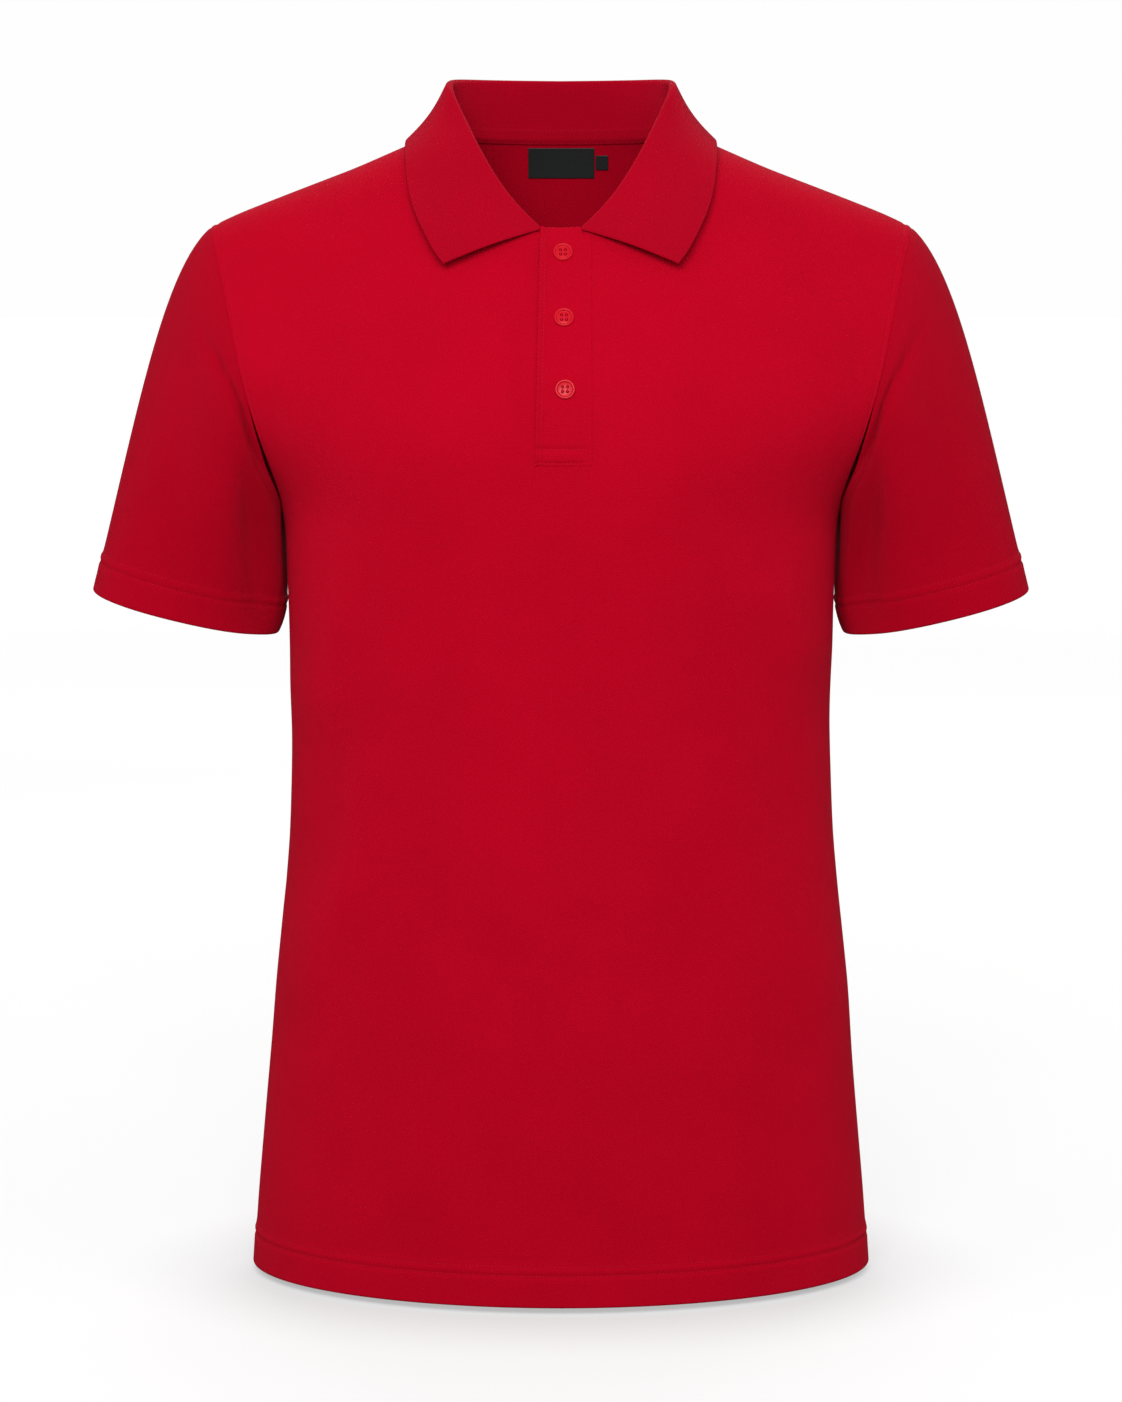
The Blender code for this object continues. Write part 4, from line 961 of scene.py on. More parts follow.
def pucker(across, distance, rows):
    """Small waves that a stitch row draws into the cloth."""
    turn = across / PUCKER_LENGTH * 2 * math.pi
    far, slow = PUCKER_WANDER
    pace, start = PUCKER_SECOND
    main_share, second_share = PUCKER_SHARES
    main = np.sin(turn + far * np.sin(turn * slow)) * main_share
    second = second_share * np.sin(turn * pace + start)
    near = sum(bell(distance, row, PUCKER_REACH) for row in rows)
    return PUCKER_HEIGHT * (main + second) * near


def hem_height(across, distance, fold, rows):
    """Relief of a turned hem: its step, the two stitch grooves and the puckers."""
    height = HEM_PROUD * (1.0 - ease(distance, fold - HEM_STEP, fold + HEM_STEP))
    height = height + pucker(across, distance, rows)
    for row in rows:
        height = height - GROOVE_DEPTH * bell(distance, row, GROOVE_HALF_WIDTH)
    return height


def hem_full(distance, fold):
    """Full cloth thickness from the turned hem to the plain cloth."""
    return WALL + (HEM_WALL + HEM_PROUD - WALL) * (1.0 - ease(distance, fold - HEM_STEP, fold))


def hem_thickness(distance, fold):
    """The same, with a round lower edge."""
    return hem_full(distance, fold) * rim_share(distance, (HEM_WALL + HEM_PROUD) / 2)


@functools.cache
def panel_cloth(side):
    """The whole front or back, and the distances of its points from its edges."""
    half, columns = half_panel(side)
    grid = both_halves(half)
    middle = len(half) - 1
    flat = flat_map(side, grid)
    to_left = running(grid)
    to_side = np.minimum(to_left, to_left[-1:] - to_left)
    to_top = running(grid[:, ::-1], axis=1)[:, ::-1]
    from_hem = flat[..., 1]
    points, normals = folded_points(side, grid)
    edge_height = np.minimum(grid[0, :, 2], grid[-1, :, 2])
    at_armhole = ease(edge_height, UNDERARM_HEIGHT, UNDERARM_HEIGHT + ARMHOLE_FADE)[None, :]
    height = hem_height(flat[..., 0], from_hem, HEM_FOLD, HEM_ROWS)
    height = height - SEAM_DIP * (bell(to_side, 0, SEAM_SOFT) + bell(to_top, 0, SEAM_SOFT))
    run_out = ease(to_side, TOPSTITCH - ALLOWANCE_INNER, TOPSTITCH + ALLOWANCE_OUTER)
    lift = ALLOWANCE_LIFT * (1.0 - run_out)
    groove = GROOVE_DEPTH * bell(to_side, TOPSTITCH, GROOVE_HALF_WIDTH)
    height = height + at_armhole * (lift - groove)
    thick = hem_thickness(from_hem, HEM_FOLD)
    middle_points = points + normals * (height - hem_full(from_hem, HEM_FOLD) / 2)[..., None]
    keep = None
    if side == FRONT:
        spans = np.abs(np.arange(len(grid) - 1) + 0.5 - middle)
        slit_columns = np.searchsorted(columns, SLIT_COLUMN)
        cell_height = (grid[middle, 1:, 2] + grid[middle, :-1, 2]) / 2
        keep = ~((spans < slit_columns)[:, None] & (cell_height > SLIT_FOOT)[None, :])
    cloth = thick_cloth(middle_points, normals, thick / 2, flat, keep=keep)
    for face in (cloth.outer, cloth.inner):
        face[..., 1] = side * np.maximum(side * face[..., 1], SEAM_EASE)
    cloth.to_side = to_side
    cloth.from_hem = from_hem
    cloth.edge_height = edge_height
    return cloth


# ---------------------------------------------------------------- sleeves
def cuff_point(turn):
    """Point of the cuff's edge at a turn of 0 to 2 round it, from its outer end."""
    outer = np.array([CUFF_OUTER[0], CUFF_OUTER_Y, CUFF_OUTER[1]])
    inner = np.array([CUFF_INNER[0], CUFF_INNER_Y, CUFF_INNER[1]])
    power = 2.0 / CUFF_ROUNDNESS
    cosine = math.cos(math.pi * turn)
    sine = math.sin(math.pi * turn)
    across = math.copysign(abs(cosine) ** power, cosine)
    forward = math.copysign(abs(sine) ** power, sine)
    depth = np.array([0.0, -CUFF_HALF_DEPTH, -CUFF_FRONT_DROP])
    return (outer + inner) / 2 + (outer - inner) / 2 * across + depth * forward


def sleeve_grid():
    """Face of the wearer's left sleeve, [place round][row from the armhole], its unit
    normals, and each point's distance from the cuff and share of the way to it."""
    front = armhole_seam(FRONT)
    back = armhole_seam(BACK)
    loop = np.concatenate([front, back[-2:0:-1]])
    body = np.concatenate([body_normals(FRONT, front), body_normals(BACK, back[-2:0:-1])])
    count = len(loop)
    keys = column(FLOW, FLOW_NAMES, "turn")
    flow = {name: natural_curve(keys, column(FLOW, FLOW_NAMES, name)) for name in FLOW_NAMES[1:]}
    t = np.linspace(0.0, 1.0, 120)[:, None]
    along = unit(np.roll(loop, -1, axis=0) - np.roll(loop, 1, axis=0))
    off_cloth = np.cross(body, along)
    band = stations(HEM_ZONE, FINE, [(0.0, HEM_ZONE)])
    band = rimmed(band, (HEM_WALL + HEM_PROUD) / 2)
    rise = stations(1.0, 1.5 / SLEEVE_ROWS, [(0.0, 0.03)], fine=0.5 / SLEEVE_ROWS)
    grid = np.zeros((count, len(rise) + len(band) - 1, 3))
    from_cuff = np.zeros(grid.shape[:2])
    share = np.zeros(grid.shape[:2])
    for i in range(count):
        turn = 2.0 * i / count
        half_turn = min(turn, 2.0 - turn)
        forward = -1.0 if turn <= 1.0 else 1.0
        behind = UNDERARM_BACK * ease(half_turn, *BACK_TURNS)
        start_y = behind - forward * flow["start_y"](half_turn)
        way = unit(np.array([flow["start_x"](half_turn), start_y, flow["start_z"](half_turn)]))
        lean = flow["end_x"](half_turn)
        come_in = np.array([lean, 0.0, -math.sqrt(1 - lean ** 2)])
        apart = ease(half_turn, *APART_TURNS)
        start = loop[i] + unit(off_cloth[i] * (1 - apart) + body[i] * apart) * (GAP / 2)
        end = cuff_point(turn)
        first = start + way * flow["start_length"](half_turn)
        second = end - come_in * flow["end_length"](half_turn)
        curve = (1 - t) ** 3 * start + 3 * t * (1 - t) ** 2 * first
        curve = curve + 3 * t ** 2 * (1 - t) * second + t ** 3 * end
        length = running(curve)[-1]
        upper = rise * (1.0 - band[-1] / length)
        rows = np.concatenate([upper, 1.0 - band[-2::-1] / length])
        grid[i] = resample(curve, rows)
        from_cuff[i] = (1.0 - rows) * length
        share[i] = rows
    wrapped = np.concatenate([grid[-1:], grid, grid[:1]])
    normals = np.cross(np.gradient(wrapped, axis=0), np.gradient(wrapped, axis=1))[1:-1]
    normals = unit(normals)
    normals *= np.sign(np.sum(normals[0, 3] * np.array([1.0, 0.0, 0.0])))
    turns = 2.0 * np.arange(count) / count
    own = ease(np.minimum(turns, 2.0 - turns), *OWN_TURNS)[:, None]
    normals[:, 0] = unit(normals[:, 0] * own + body * (1 - own))
    return grid, normals, from_cuff, share, turns


@functools.cache
def sleeve_cloth():
    """The wearer's left sleeve, closed at the underarm."""
    grid, normals, from_cuff, share, turns = sleeve_grid()
    count = len(grid)
    across = running(np.concatenate([grid, grid[:1]]))
    whole = across[-1]
    across = across[:-1]
    across = np.where(turns[:, None] <= 1.0, across, across - whole)
    height = hem_height(across, from_cuff, CUFF_FOLD, CUFF_ROWS)
    for row in SLEEVE_FOLDS:
        fold = dict(zip(SLEEVE_FOLD_NAMES, row))
        middle = (fold["start"] + fold["end"]) / 2
        reach = (fold["end"] - fold["start"]) / 2
        way = np.clip((share - fold["start"]) / (2 * reach), 0.0, 1.0)
        line = fold["start_turn"] + (fold["end_turn"] - fold["start_turn"]) * way
        off = (turns[:, None] - line) / fold["half_width"]
        height = height + fold["height"] * np.exp(-off ** 2 - ((share - middle) / reach) ** 4)
    from_seam = running(grid, axis=1)
    height = height - SEAM_DIP * bell(from_seam, 0, SEAM_SOFT)
    thick = hem_thickness(from_cuff, CUFF_FOLD)
    middle_points = grid + normals * (height - hem_full(from_cuff, CUFF_FOLD) / 2)[..., None]
    flat = np.stack([across, from_cuff], axis=-1)
    cloth = thick_cloth(middle_points, normals, thick / 2, flat, closed=True)
    for name in ("outer", "inner", "flat"):
        setattr(cloth, name, np.roll(getattr(cloth, name), -(count // 2) - 1, axis=0))
    cloth.from_cuff = np.roll(from_cuff, -(count // 2) - 1, axis=0)
    return cloth


def mirrored(cloth, hand):
    """The same cloth for the wearer's left, hand 1, or right, hand -1."""
    flip = np.array([hand, 1.0, 1.0])
    other = Cloth(cloth.outer * flip, cloth.inner * flip, cloth.flat, cloth.closed)
    other.from_cuff = cloth.from_cuff
    return other


# ---------------------------------------------------------------- collar and neck tape
def collar_foot():
    """The wearer's left half of the neckline, from the middle of the back to the
    collar's front end: the middle of the cloth's edge, the way off the cloth, its outward
    normals, and the share of the way, half at the shoulder."""
    back = neck_seam(BACK)
    front = neck_seam(FRONT)[::-1]
    front = front[front[:, 0] >= COLLAR_END]
    back_length = running(back)[-1]
    front_length = running(front)[-1]
    back_at = stations(back_length, COLLAR_COLUMN_STEP, [(back_length * 2, back_length * 2)])
    front_at = front_length - rimmed(
        stations(front_length, COLLAR_COLUMN_STEP, [(0.0, COLLAR_WALL)], fine=COLLAR_END_STEP),
        COLLAR_WALL / 2)[::-1]
    back_points = resample(back, back_at / back_length)
    front_points = resample(front, front_at[1:] / front_length)
    points = np.concatenate([back_points, front_points])
    normals = np.concatenate([body_normals(BACK, back_points), body_normals(FRONT, front_points)])
    along = unit(np.gradient(points, axis=0))
    along[0] = np.array([1.0, 0.0, 0.0])
    away = unit(np.cross(normals, along))
    away *= np.sign(away[0, 2])
    share = np.concatenate([back_at / back_length / 2, 0.5 + front_at[1:] / front_length / 2])
    return points - normals * WALL / 2, away, normals, share


def collar_sections():
    """Middle line of the collar's cloth at each place along its half: up the stand, over
    the roll and down the leaf."""
    foot, away, _, shares = collar_foot()
    keys = column(COLLAR, COLLAR_NAMES, "share")
    guide = {name: natural_curve(keys, column(COLLAR, COLLAR_NAMES, name))(shares)
             for name in COLLAR_NAMES[1:]}
    crest = np.stack([guide["fold_x"], guide["fold_y"], guide["fold_z"]], axis=1)
    edge = np.stack([guide["edge_x"], guide["edge_y"], guide["edge_z"]], axis=1)
    along = unit(np.gradient(crest, axis=0))
    along[0] = np.array([1.0, 0.0, 0.0])
    out = unit(np.stack([-along[:, 1], along[:, 0], np.zeros(len(along))], axis=1))
    up = np.cross(along, out)
    centre = crest - up * (ROLL_RADIUS + COLLAR_WALL / 2)
    sections = []
    for i in range(len(foot)):
        away_out = np.dot(edge[i] - centre[i], out[i])
        away_up = np.dot(edge[i] - centre[i], up[i])
        reach = max(math.hypot(away_out, away_up), ROLL_RADIUS * 1.5)
        leave = math.atan2(away_up, away_out) + math.acos(ROLL_RADIUS / reach)
        turns = np.linspace(math.pi, leave, ROLL_STEPS + 1)[:, None]
        roll = centre[i] + (np.cos(turns) * out[i] + np.sin(turns) * up[i]) * ROLL_RADIUS
        stand_way = unit(roll[0] - foot[i])
        turned = math.sqrt(max(0.0, 1.0 - float(np.dot(away[i], stand_way)) ** 2))
        start = foot[i] + away[i] * (GAP + COLLAR_WALL / 2 * turned)
        t = np.linspace(0.0, 1.0, STAND_ROWS + 1)[:-1, None]
        stand = start * (1 - t) + roll[0] * t
        reach = np.linalg.norm(edge[i] - roll[-1])
        rim = 1.0 - rim_places(COLLAR_WALL / 2)[::-1] / reach
        t = np.concatenate([np.linspace(0.0, rim[0], LEAF_ROWS + 1)[1:-1], rim])[:, None]
        leaf_normal = unit(np.cross(along[i], roll[-1] - edge[i]))
        leaf_normal = leaf_normal * np.sign(np.dot(leaf_normal, out[i]))
        bow = guide["bow"][i]
        leaf = roll[-1] * (1 - t) + edge[i] * t + leaf_normal * bow * np.sin(math.pi * t)
        sections.append(np.concatenate([stand, roll, leaf]))
    return np.array(sections)


@functools.cache
def collar_cloth():
    """The whole collar. Its normals point into the neck on the stand."""
    middle = both_halves(collar_sections())
    normals = unit(np.cross(np.gradient(middle, axis=0), np.gradient(middle, axis=1)))
    to_left = running(middle)
    to_end = np.minimum(to_left, to_left[-1:] - to_left)
    to_edge = running(middle[:, ::-1], axis=1)[:, ::-1]
    from_foot = running(middle, axis=1)
    radius = COLLAR_WALL / 2
    half = radius * np.minimum(rim_share(to_end, radius), rim_share(to_edge, radius))
    fold = STAND_ROWS + ROLL_STEPS // 2
    across = np.repeat(to_left[:, fold:fold + 1], middle.shape[1], axis=1)
    flat = np.stack([across - across[-1:] / 2, from_foot], axis=-1)
    return thick_cloth(middle, normals, half, flat)


@functools.cache
def tape_cloth():
    """The strip inside the back neck, on the back below the seam and on the stand above."""
    foot, away, outward, shares = collar_foot()
    back = shares <= 0.5
    half_middle = collar_sections()[back]
    foot = foot[back]
    off_cloth = -outward[back]
    up = unit(half_middle[:, 1] - half_middle[:, 0])
    along = unit(np.gradient(foot, axis=0))
    along[0] = np.array([1.0, 0.0, 0.0])
    off_stand = unit(np.cross(along, up))
    off_stand *= np.sign(np.sum(off_stand * off_cloth, axis=1, keepdims=True))
    between = unit(off_stand + off_cloth)
    lean = np.sum(between * off_stand, axis=1, keepdims=True)
    out = COLLAR_WALL / 2 + TAPE_REST + TAPE_WALL / 2
    high = half_middle[:, 0] + up * TAPE_ABOVE + off_stand * out
    bend = half_middle[:, 0] + between * out / lean
    low = foot - away[back] * TAPE_BELOW + off_cloth * (WALL / 2 + TAPE_REST + TAPE_WALL / 2)
    width = TAPE_ABOVE + TAPE_BELOW
    places = np.concatenate([rim_places(TAPE_WALL / 2),
                             np.linspace(TAPE_INSET, width - TAPE_INSET, 9),
                             width - rim_places(TAPE_WALL / 2)[::-1]])
    share = (places / width)[:, None]
    corner = TAPE_BELOW / width
    rows = []
    for i in range(len(foot)):
        t = np.clip(share / corner, 0.0, 1.0)
        below = low[i] * (1 - t) + bend[i] * t
        t = np.clip((share - corner) / (1 - corner), 0.0, 1.0)
        above = bend[i] * (1 - t) + high[i] * t
        rows.append(np.where(share <= corner, below, above))
    middle = both_halves(np.array(rows))
    facing = both_halves(between)
    normals = np.repeat(facing[:, None], len(places), axis=1)
    cut = unit(np.cross(np.gradient(middle, axis=0), np.gradient(middle, axis=1)))
    cut *= np.sign(np.sum(cut * normals, axis=-1, keepdims=True))
    half = TAPE_WALL / 2 * rim_share(np.minimum(places, width - places), TAPE_WALL / 2)
    across = running(middle)
    from_edge = np.repeat(places[None], len(middle), axis=0)
    flat = np.stack([across - across[-1:] / 2, from_edge], axis=-1)
    cloth = thick_cloth(middle, cut, np.repeat(half[None], len(middle), axis=0), flat)
    cloth.from_edge = from_edge
    return cloth


# ---------------------------------------------------------------- what lies on the panels
def patch_cloth(side, left, right, bottom, top, out, thick, step):
    """A piece that lies on a panel: out is how far its middle is off the panel's face."""
    radius = thick / 2
    x, z = np.meshgrid(left + rimmed_both(right - left, step, radius),
                       bottom + rimmed_both(top - bottom, step, radius), indexing="ij")
    points, normals = folded_points(side, body_points(side, x, z))
    middle = points + normals * out
    to_side = np.minimum(x - left, right - x)
    to_end = np.minimum(z - bottom, top - z)
    half = radius * np.minimum(rim_share(to_side, radius), rim_share(to_end, radius))
    flat = np.stack([x, running(points, axis=1)], axis=-1)
    return thick_cloth(middle, normals * np.sign(out), half, flat)


@functools.cache
def placket_cloth():
    """The upper strip: a round fold at its open edge, flat against the front at its other
    side, and a low tab between the collar's ends."""
    across = stations(1.0, PLACKET_STEP / PLACKET_WIDE, PLACKET_FINE_SIDE,
                      fine=PLACKET_SIDE_STEP)
    rims = rim_places(PLACKET_FOLD_RADIUS) / PLACKET_WIDE
    across = np.concatenate([rims, across[across > rims[-1] * PLACKET_RIM_CLEAR]])
    up = stations(1.0, PLACKET_STEP / PLACKET_LONG, PLACKET_FINE_ENDS, fine=PLACKET_END_STEP)
    across, up = np.meshgrid(across, up, indexing="ij")
    lean = PLACKET_LEAN * up
    x = PLACKET_LEFT + lean + (PLACKET_RIGHT - PLACKET_LEFT - lean) * across
    tab = 1.0 - ease(np.abs(x), TAB_TOP_HALF, TAB_FOOT_HALF)
    tab_top = PLACKET_TAB - TAB_DIP * (1.0 - np.minimum(1.0, np.abs(x) / TAB_TOP_HALF) ** 2)
    tops = PLACKET_TOP + (tab_top - PLACKET_TOP) * tab
    z = PLACKET_FOOT + (tops - PLACKET_FOOT) * up
    from_fold = (PLACKET_RIGHT - PLACKET_LEFT - lean) * across
    to_seam = PLACKET_RIGHT - x
    from_foot = z - PLACKET_FOOT
    to_top = tops - z
    bulge = PLACKET_BULGE * bell(from_fold, PLACKET_FOLD_RADIUS, PLACKET_FOLD_SOFT)
    flat_side = PLACKET_FLAT + (1 - PLACKET_FLAT) * ease(to_seam, 0.0, PLACKET_FLAT_REACH)
    full = (PLACKET_WALL + bulge) * flat_side
    lift = PLACKET_LIFT * bell(from_fold, 0.0, PLACKET_LIFT_REACH)
    lift = lift * ease(from_foot, *PLACKET_LIFT_FOOT) * ease(to_top, *PLACKET_LIFT_TOP)
    groove = EDGE_ROW_DEPTH * bell(from_fold, PLACKET_EDGE_ROW, GROOVE_HALF_WIDTH)
    for row in PLACKET_BOX_ROWS:
        sunk = BOX_ROW_DEPTH * bell(from_foot, row, GROOVE_HALF_WIDTH * BOX_ROW_WIDTH)
        groove = groove + sunk * ease(to_seam, *BOX_ROW_END)
    for place_x, place_z in BUTTON_PLACES.values():
        away = np.hypot(x - place_x, z - place_z)
        groove = groove + BUTTON_DENT * bell(away, 0.0, BUTTON_DENT_REACH)
    round_fold = rim_share(from_fold, PLACKET_FOLD_RADIUS)
    round_ends = rim_share(np.minimum(to_top, from_foot), PLACKET_WALL / 2)
    thick = full * np.minimum(round_fold, round_ends)
    out = GAP / 2 + full / 2 + lift - np.minimum(GROOVE_DEPTH * groove, full * GROOVE_LIMIT)
    points, normals = folded_points(FRONT, body_points(FRONT, x, z))
    flat = np.stack([x, running(points, axis=1)], axis=-1)
    cloth = thick_cloth(points + normals * out[..., None], normals, thick / 2, flat)
    cloth.from_fold = from_fold
    cloth.to_seam = to_seam
    cloth.from_foot = from_foot
    return cloth


# ---------------------------------------------------------------- node groups and materials
def made_once(library, name):
    """The maker below makes its group or material once; later calls find it by its name."""
    def keep(make):
        @functools.wraps(make)
        def made(*given):
            return getattr(bpy.data, library).get(name) or make(name, *given)
        return made
    return keep


def feed(tree, socket, value):
    """Links another node's output to a socket, or sets the socket's own value."""
    if isinstance(value, bpy.types.NodeSocket):
        tree.links.new(value, socket)
    else:
        socket.default_value = value


def noise_node(tree, vector, scale, detail):
    node = tree.nodes.new("ShaderNodeTexNoise")
    feed(tree, node.inputs["Vector"], vector)
    feed(tree, node.inputs["Scale"], scale)
    feed(tree, node.inputs["Detail"], detail)
    return node.outputs["Fac"]


def object_place(tree):
    return tree.nodes.new("ShaderNodeTexCoord").outputs["Object"]


def flat_place(tree):
    """The place on the cloth laid flat, in metres."""
    node = tree.nodes.new("ShaderNodeUVMap")
    node.uv_map = "flat"
    return node.outputs["UV"]


def new_group(name, inputs, outputs):
    """An empty node group: inputs are (name, socket type, default), outputs (name, type)."""
    group = bpy.data.node_groups.new(name, "ShaderNodeTree")
    for label, kind, default in inputs:
        socket = group.interface.new_socket(name=label, in_out="INPUT", socket_type=kind)
        if default is not None:
            socket.default_value = default
    for label, kind in outputs:
        group.interface.new_socket(name=label, in_out="OUTPUT", socket_type=kind)
    start = group.nodes.new("NodeGroupInput")
    end = group.nodes.new("NodeGroupOutput")
    return group, start, end


def math_node(tree, operation, first, second=None):
    node = tree.nodes.new("ShaderNodeMath")
    node.operation = operation
    for socket, value in zip(node.inputs, (first, second)):
        if value is not None:
            feed(tree, socket, value)
    return node.outputs[0]


def flat_cells(group, start, width, length):
    """The flat place counted in columns and rows of the cloth."""
    parts = group.nodes.new("ShaderNodeSeparateXYZ")
    group.links.new(start.outputs["Flat"], parts.inputs[0])
    return (math_node(group, "DIVIDE", parts.outputs["X"], start.outputs[width]),
            math_node(group, "DIVIDE", parts.outputs["Y"], start.outputs[length]))


def wave(group, operation, cells, turns=1):
    return math_node(group, operation, math_node(group, "MULTIPLY", cells, 2 * math.pi * turns))


@made_once("node_groups", "pique_knit")
def knit_group(name):
    """Raised dots in staggered rows, in the cloth's flat metres."""
    group, start, end = new_group(
        name,
        [("Flat", "NodeSocketVector", None), ("Wale", "NodeSocketFloat", 0.0014),
         ("Course", "NodeSocketFloat", 0.0017), ("Unevenness", "NodeSocketFloat", 0.15)],
        [("Height", "NodeSocketFloat"), ("Hollow", "NodeSocketFloat")])
    noise = noise_node(group, start.outputs["Flat"], KNIT_GRAIN, 2.0)
    across, along = flat_cells(group, start, "Wale", "Course")
    dots = math_node(group, "MULTIPLY", wave(group, "SINE", across), wave(group, "SINE", along))
    columns = math_node(group, "MULTIPLY", wave(group, "COSINE", across, 2), KNIT_COLUMNS)
    dots = math_node(group, "ADD", dots, columns)
    rough = math_node(group, "MULTIPLY", math_node(group, "SUBTRACT", noise, 0.5),
                      start.outputs["Unevenness"])
    height = math_node(group, "ADD", math_node(group, "MULTIPLY", dots, KNIT_DOTS), rough)
    height = math_node(group, "ADD", height, 0.5)
    # painted shade: how deep in a hollow of the knit each place lies, for a darker colour there
    hollow = math_node(group, "SUBTRACT", 1.0, height)
    hollow = math_node(group, "MINIMUM", math_node(group, "MAXIMUM", hollow, 0.0), 1.0)
    group.links.new(height, end.inputs["Height"])
    group.links.new(hollow, end.inputs["Hollow"])
    return group


@made_once("node_groups", "fine_rib")
def rib_group(name):
    """Fine ribs with small knit loops along them, in the cloth's flat metres."""
    group, start, end = new_group(
        name,
        [("Flat", "NodeSocketVector", None), ("Rib", "NodeSocketFloat", 0.0011),
         ("Loop", "NodeSocketFloat", 0.0012), ("Slant", "NodeSocketFloat", 0.0)],
        [("Height", "NodeSocketFloat"), ("Hollow", "NodeSocketFloat")])
    across, along = flat_cells(group, start, "Rib", "Loop")
    slant = math_node(group, "MULTIPLY", along, start.outputs["Slant"])
    across = math_node(group, "ADD", across, slant)
    height = math_node(
        group, "ADD", math_node(group, "MULTIPLY", wave(group, "COSINE", across), RIB_RELIEF),
        math_node(group, "MULTIPLY", wave(group, "COSINE", along), LOOP_RELIEF))
    height = math_node(group, "ADD", height, 0.5)
    # painted shade: how deep in a hollow between the ribs each place lies, for a darker colour
    # there
    hollow = math_node(group, "SUBTRACT", 1.0, height)
    group.links.new(height, end.inputs["Height"])
    group.links.new(hollow, end.inputs["Hollow"])
    return group


@made_once("node_groups", "dye_mottle")
def mottle_group(name):
    """Broad uneven dye and faint crumple, in Object coordinates."""
    group, start, end = new_group(
        name,
        [("Place", "NodeSocketVector", None), ("Scale", "NodeSocketFloat", 18.0)],
        [("Tone", "NodeSocketFloat"), ("Crumple", "NodeSocketFloat")])
    place = start.outputs["Place"]
    finer = math_node(group, "MULTIPLY", start.outputs["Scale"], FINER_CRUMPLE)
    broad = noise_node(group, place, start.outputs["Scale"], 3.0)
    group.links.new(broad, end.inputs["Tone"])
    group.links.new(noise_node(group, place, finer, 2.0), end.inputs["Crumple"])
    return group


def place_group(tree, group, inputs):
    """A group node with its inputs linked or set."""
    node = tree.nodes.new("ShaderNodeGroup")
    node.node_tree = group
    for name, value in inputs.items():
        feed(tree, node.inputs[name], value)
    return node


def new_material(name):
    material = bpy.data.materials.new(name)
    material.use_nodes = True
    return material, material.node_tree, material.node_tree.nodes["Principled BSDF"]


def mixed_colour(tree, factor, first, second):
    node = tree.nodes.new("ShaderNodeMix")
    node.data_type = "RGBA"
    for name, value in (("Factor", factor), ("A", first), ("B", second)):
        feed(tree, node.inputs[name], value)
    return node.outputs["Result"]


def ranged(tree, value, low, high, start=0.0, end=1.0):
    """The value carried from start and end to low and high."""
    node = tree.nodes.new("ShaderNodeMapRange")
    for name, given in (("Value", value), ("From Min", start), ("From Max", end),
                        ("To Min", low), ("To Max", high)):
        feed(tree, node.inputs[name], given)
    return node.outputs["Result"]


def toned(colour, share):
    return [min(1.0, value * share) for value in colour[:3]] + [1.0]


def bump(tree, height, distance, strength, before=None):
    node = tree.nodes.new("ShaderNodeBump")
    node.inputs["Distance"].default_value = distance
    node.inputs["Strength"].default_value = strength
    tree.links.new(height, node.inputs["Height"])
    if before is not None:
        tree.links.new(before, node.inputs["Normal"])
    return node.outputs["Normal"]


def cloth_material(name, group, values, colours, relief, cloth, sheen_share=1.0):
    """Knitted or woven cloth: the group draws its relief and the painted shade of its hollows, and
    the mottle its tone.
    """
    material, tree, shader = new_material(name)
    knit = place_group(tree, group, {"Flat": flat_place(tree), **values})
    mottle = place_group(tree, mottle_group(), {"Place": object_place(tree)})
    tone = ranged(tree, mottle.outputs["Tone"], 0.0, MOTTLE_TONE, *MOTTLE_RANGE)
    # painted shade in the knit's hollows, plus the dye's real mottle
    shade = math_node(tree, "MULTIPLY", knit.outputs["Hollow"], HOLLOW_SHADE_TONE)
    shade = math_node(tree, "ADD", shade, tone)
    tree.links.new(mixed_colour(tree, shade, colours[0], colours[1]), shader.inputs["Base Color"])
    crumple = bump(tree, mottle.outputs["Crumple"], CRUMPLE_RELIEF, CRUMPLE_STRENGTH)
    normal = bump(tree, knit.outputs["Height"], relief, 1.0, crumple)
    tree.links.new(normal, shader.inputs["Normal"])
    shader.inputs["Roughness"].default_value = cloth.roughness
    shader.inputs["Specular IOR Level"].default_value = 0.03
    shader.inputs["Diffuse Roughness"].default_value = 0.6
    shader.inputs["Sheen Weight"].default_value = cloth.sheen * sheen_share
    shader.inputs["Sheen Roughness"].default_value = 0.35
    shader.inputs["Sheen Tint"].default_value = cloth.sheen_colour
    return material


@made_once("materials", "pique_red")
def pique_material(name, scene):
    cloth = scene.polo_cloth
    return cloth_material(name, knit_group(), {"Wale": cloth.wale, "Course": cloth.course},
                          (cloth.colour, cloth.hollow_shade_colour), cloth.relief, cloth)


@made_once("materials", "pique_red_sleeve")
def shaded_sleeve_material(name, scene):
    cloth = scene.polo_cloth
    # a darker copy of the body's colours: painted shade on the sleeves
    tones = [toned(colour, cloth.painted_sleeve_shade) for colour in (cloth.colour, cloth.hollow_shade_colour)]
    return cloth_material(name, knit_group(),
                          {"Wale": cloth.wale, "Course": cloth.course}, tones, cloth.relief, cloth)


@made_once("materials", "collar_knit_red")
def collar_material(name, scene):
    cloth = scene.polo_cloth
    # the collar's base colour holds painted shade, and its rib hollows get more painted shade
    return cloth_material(name, rib_group(), {"Rib": cloth.rib},
                          (cloth.shaded_collar_colour, toned(cloth.shaded_collar_colour, RIB_SHADE)),
                          cloth.relief * RIB_RELIEF_SHARE, cloth)


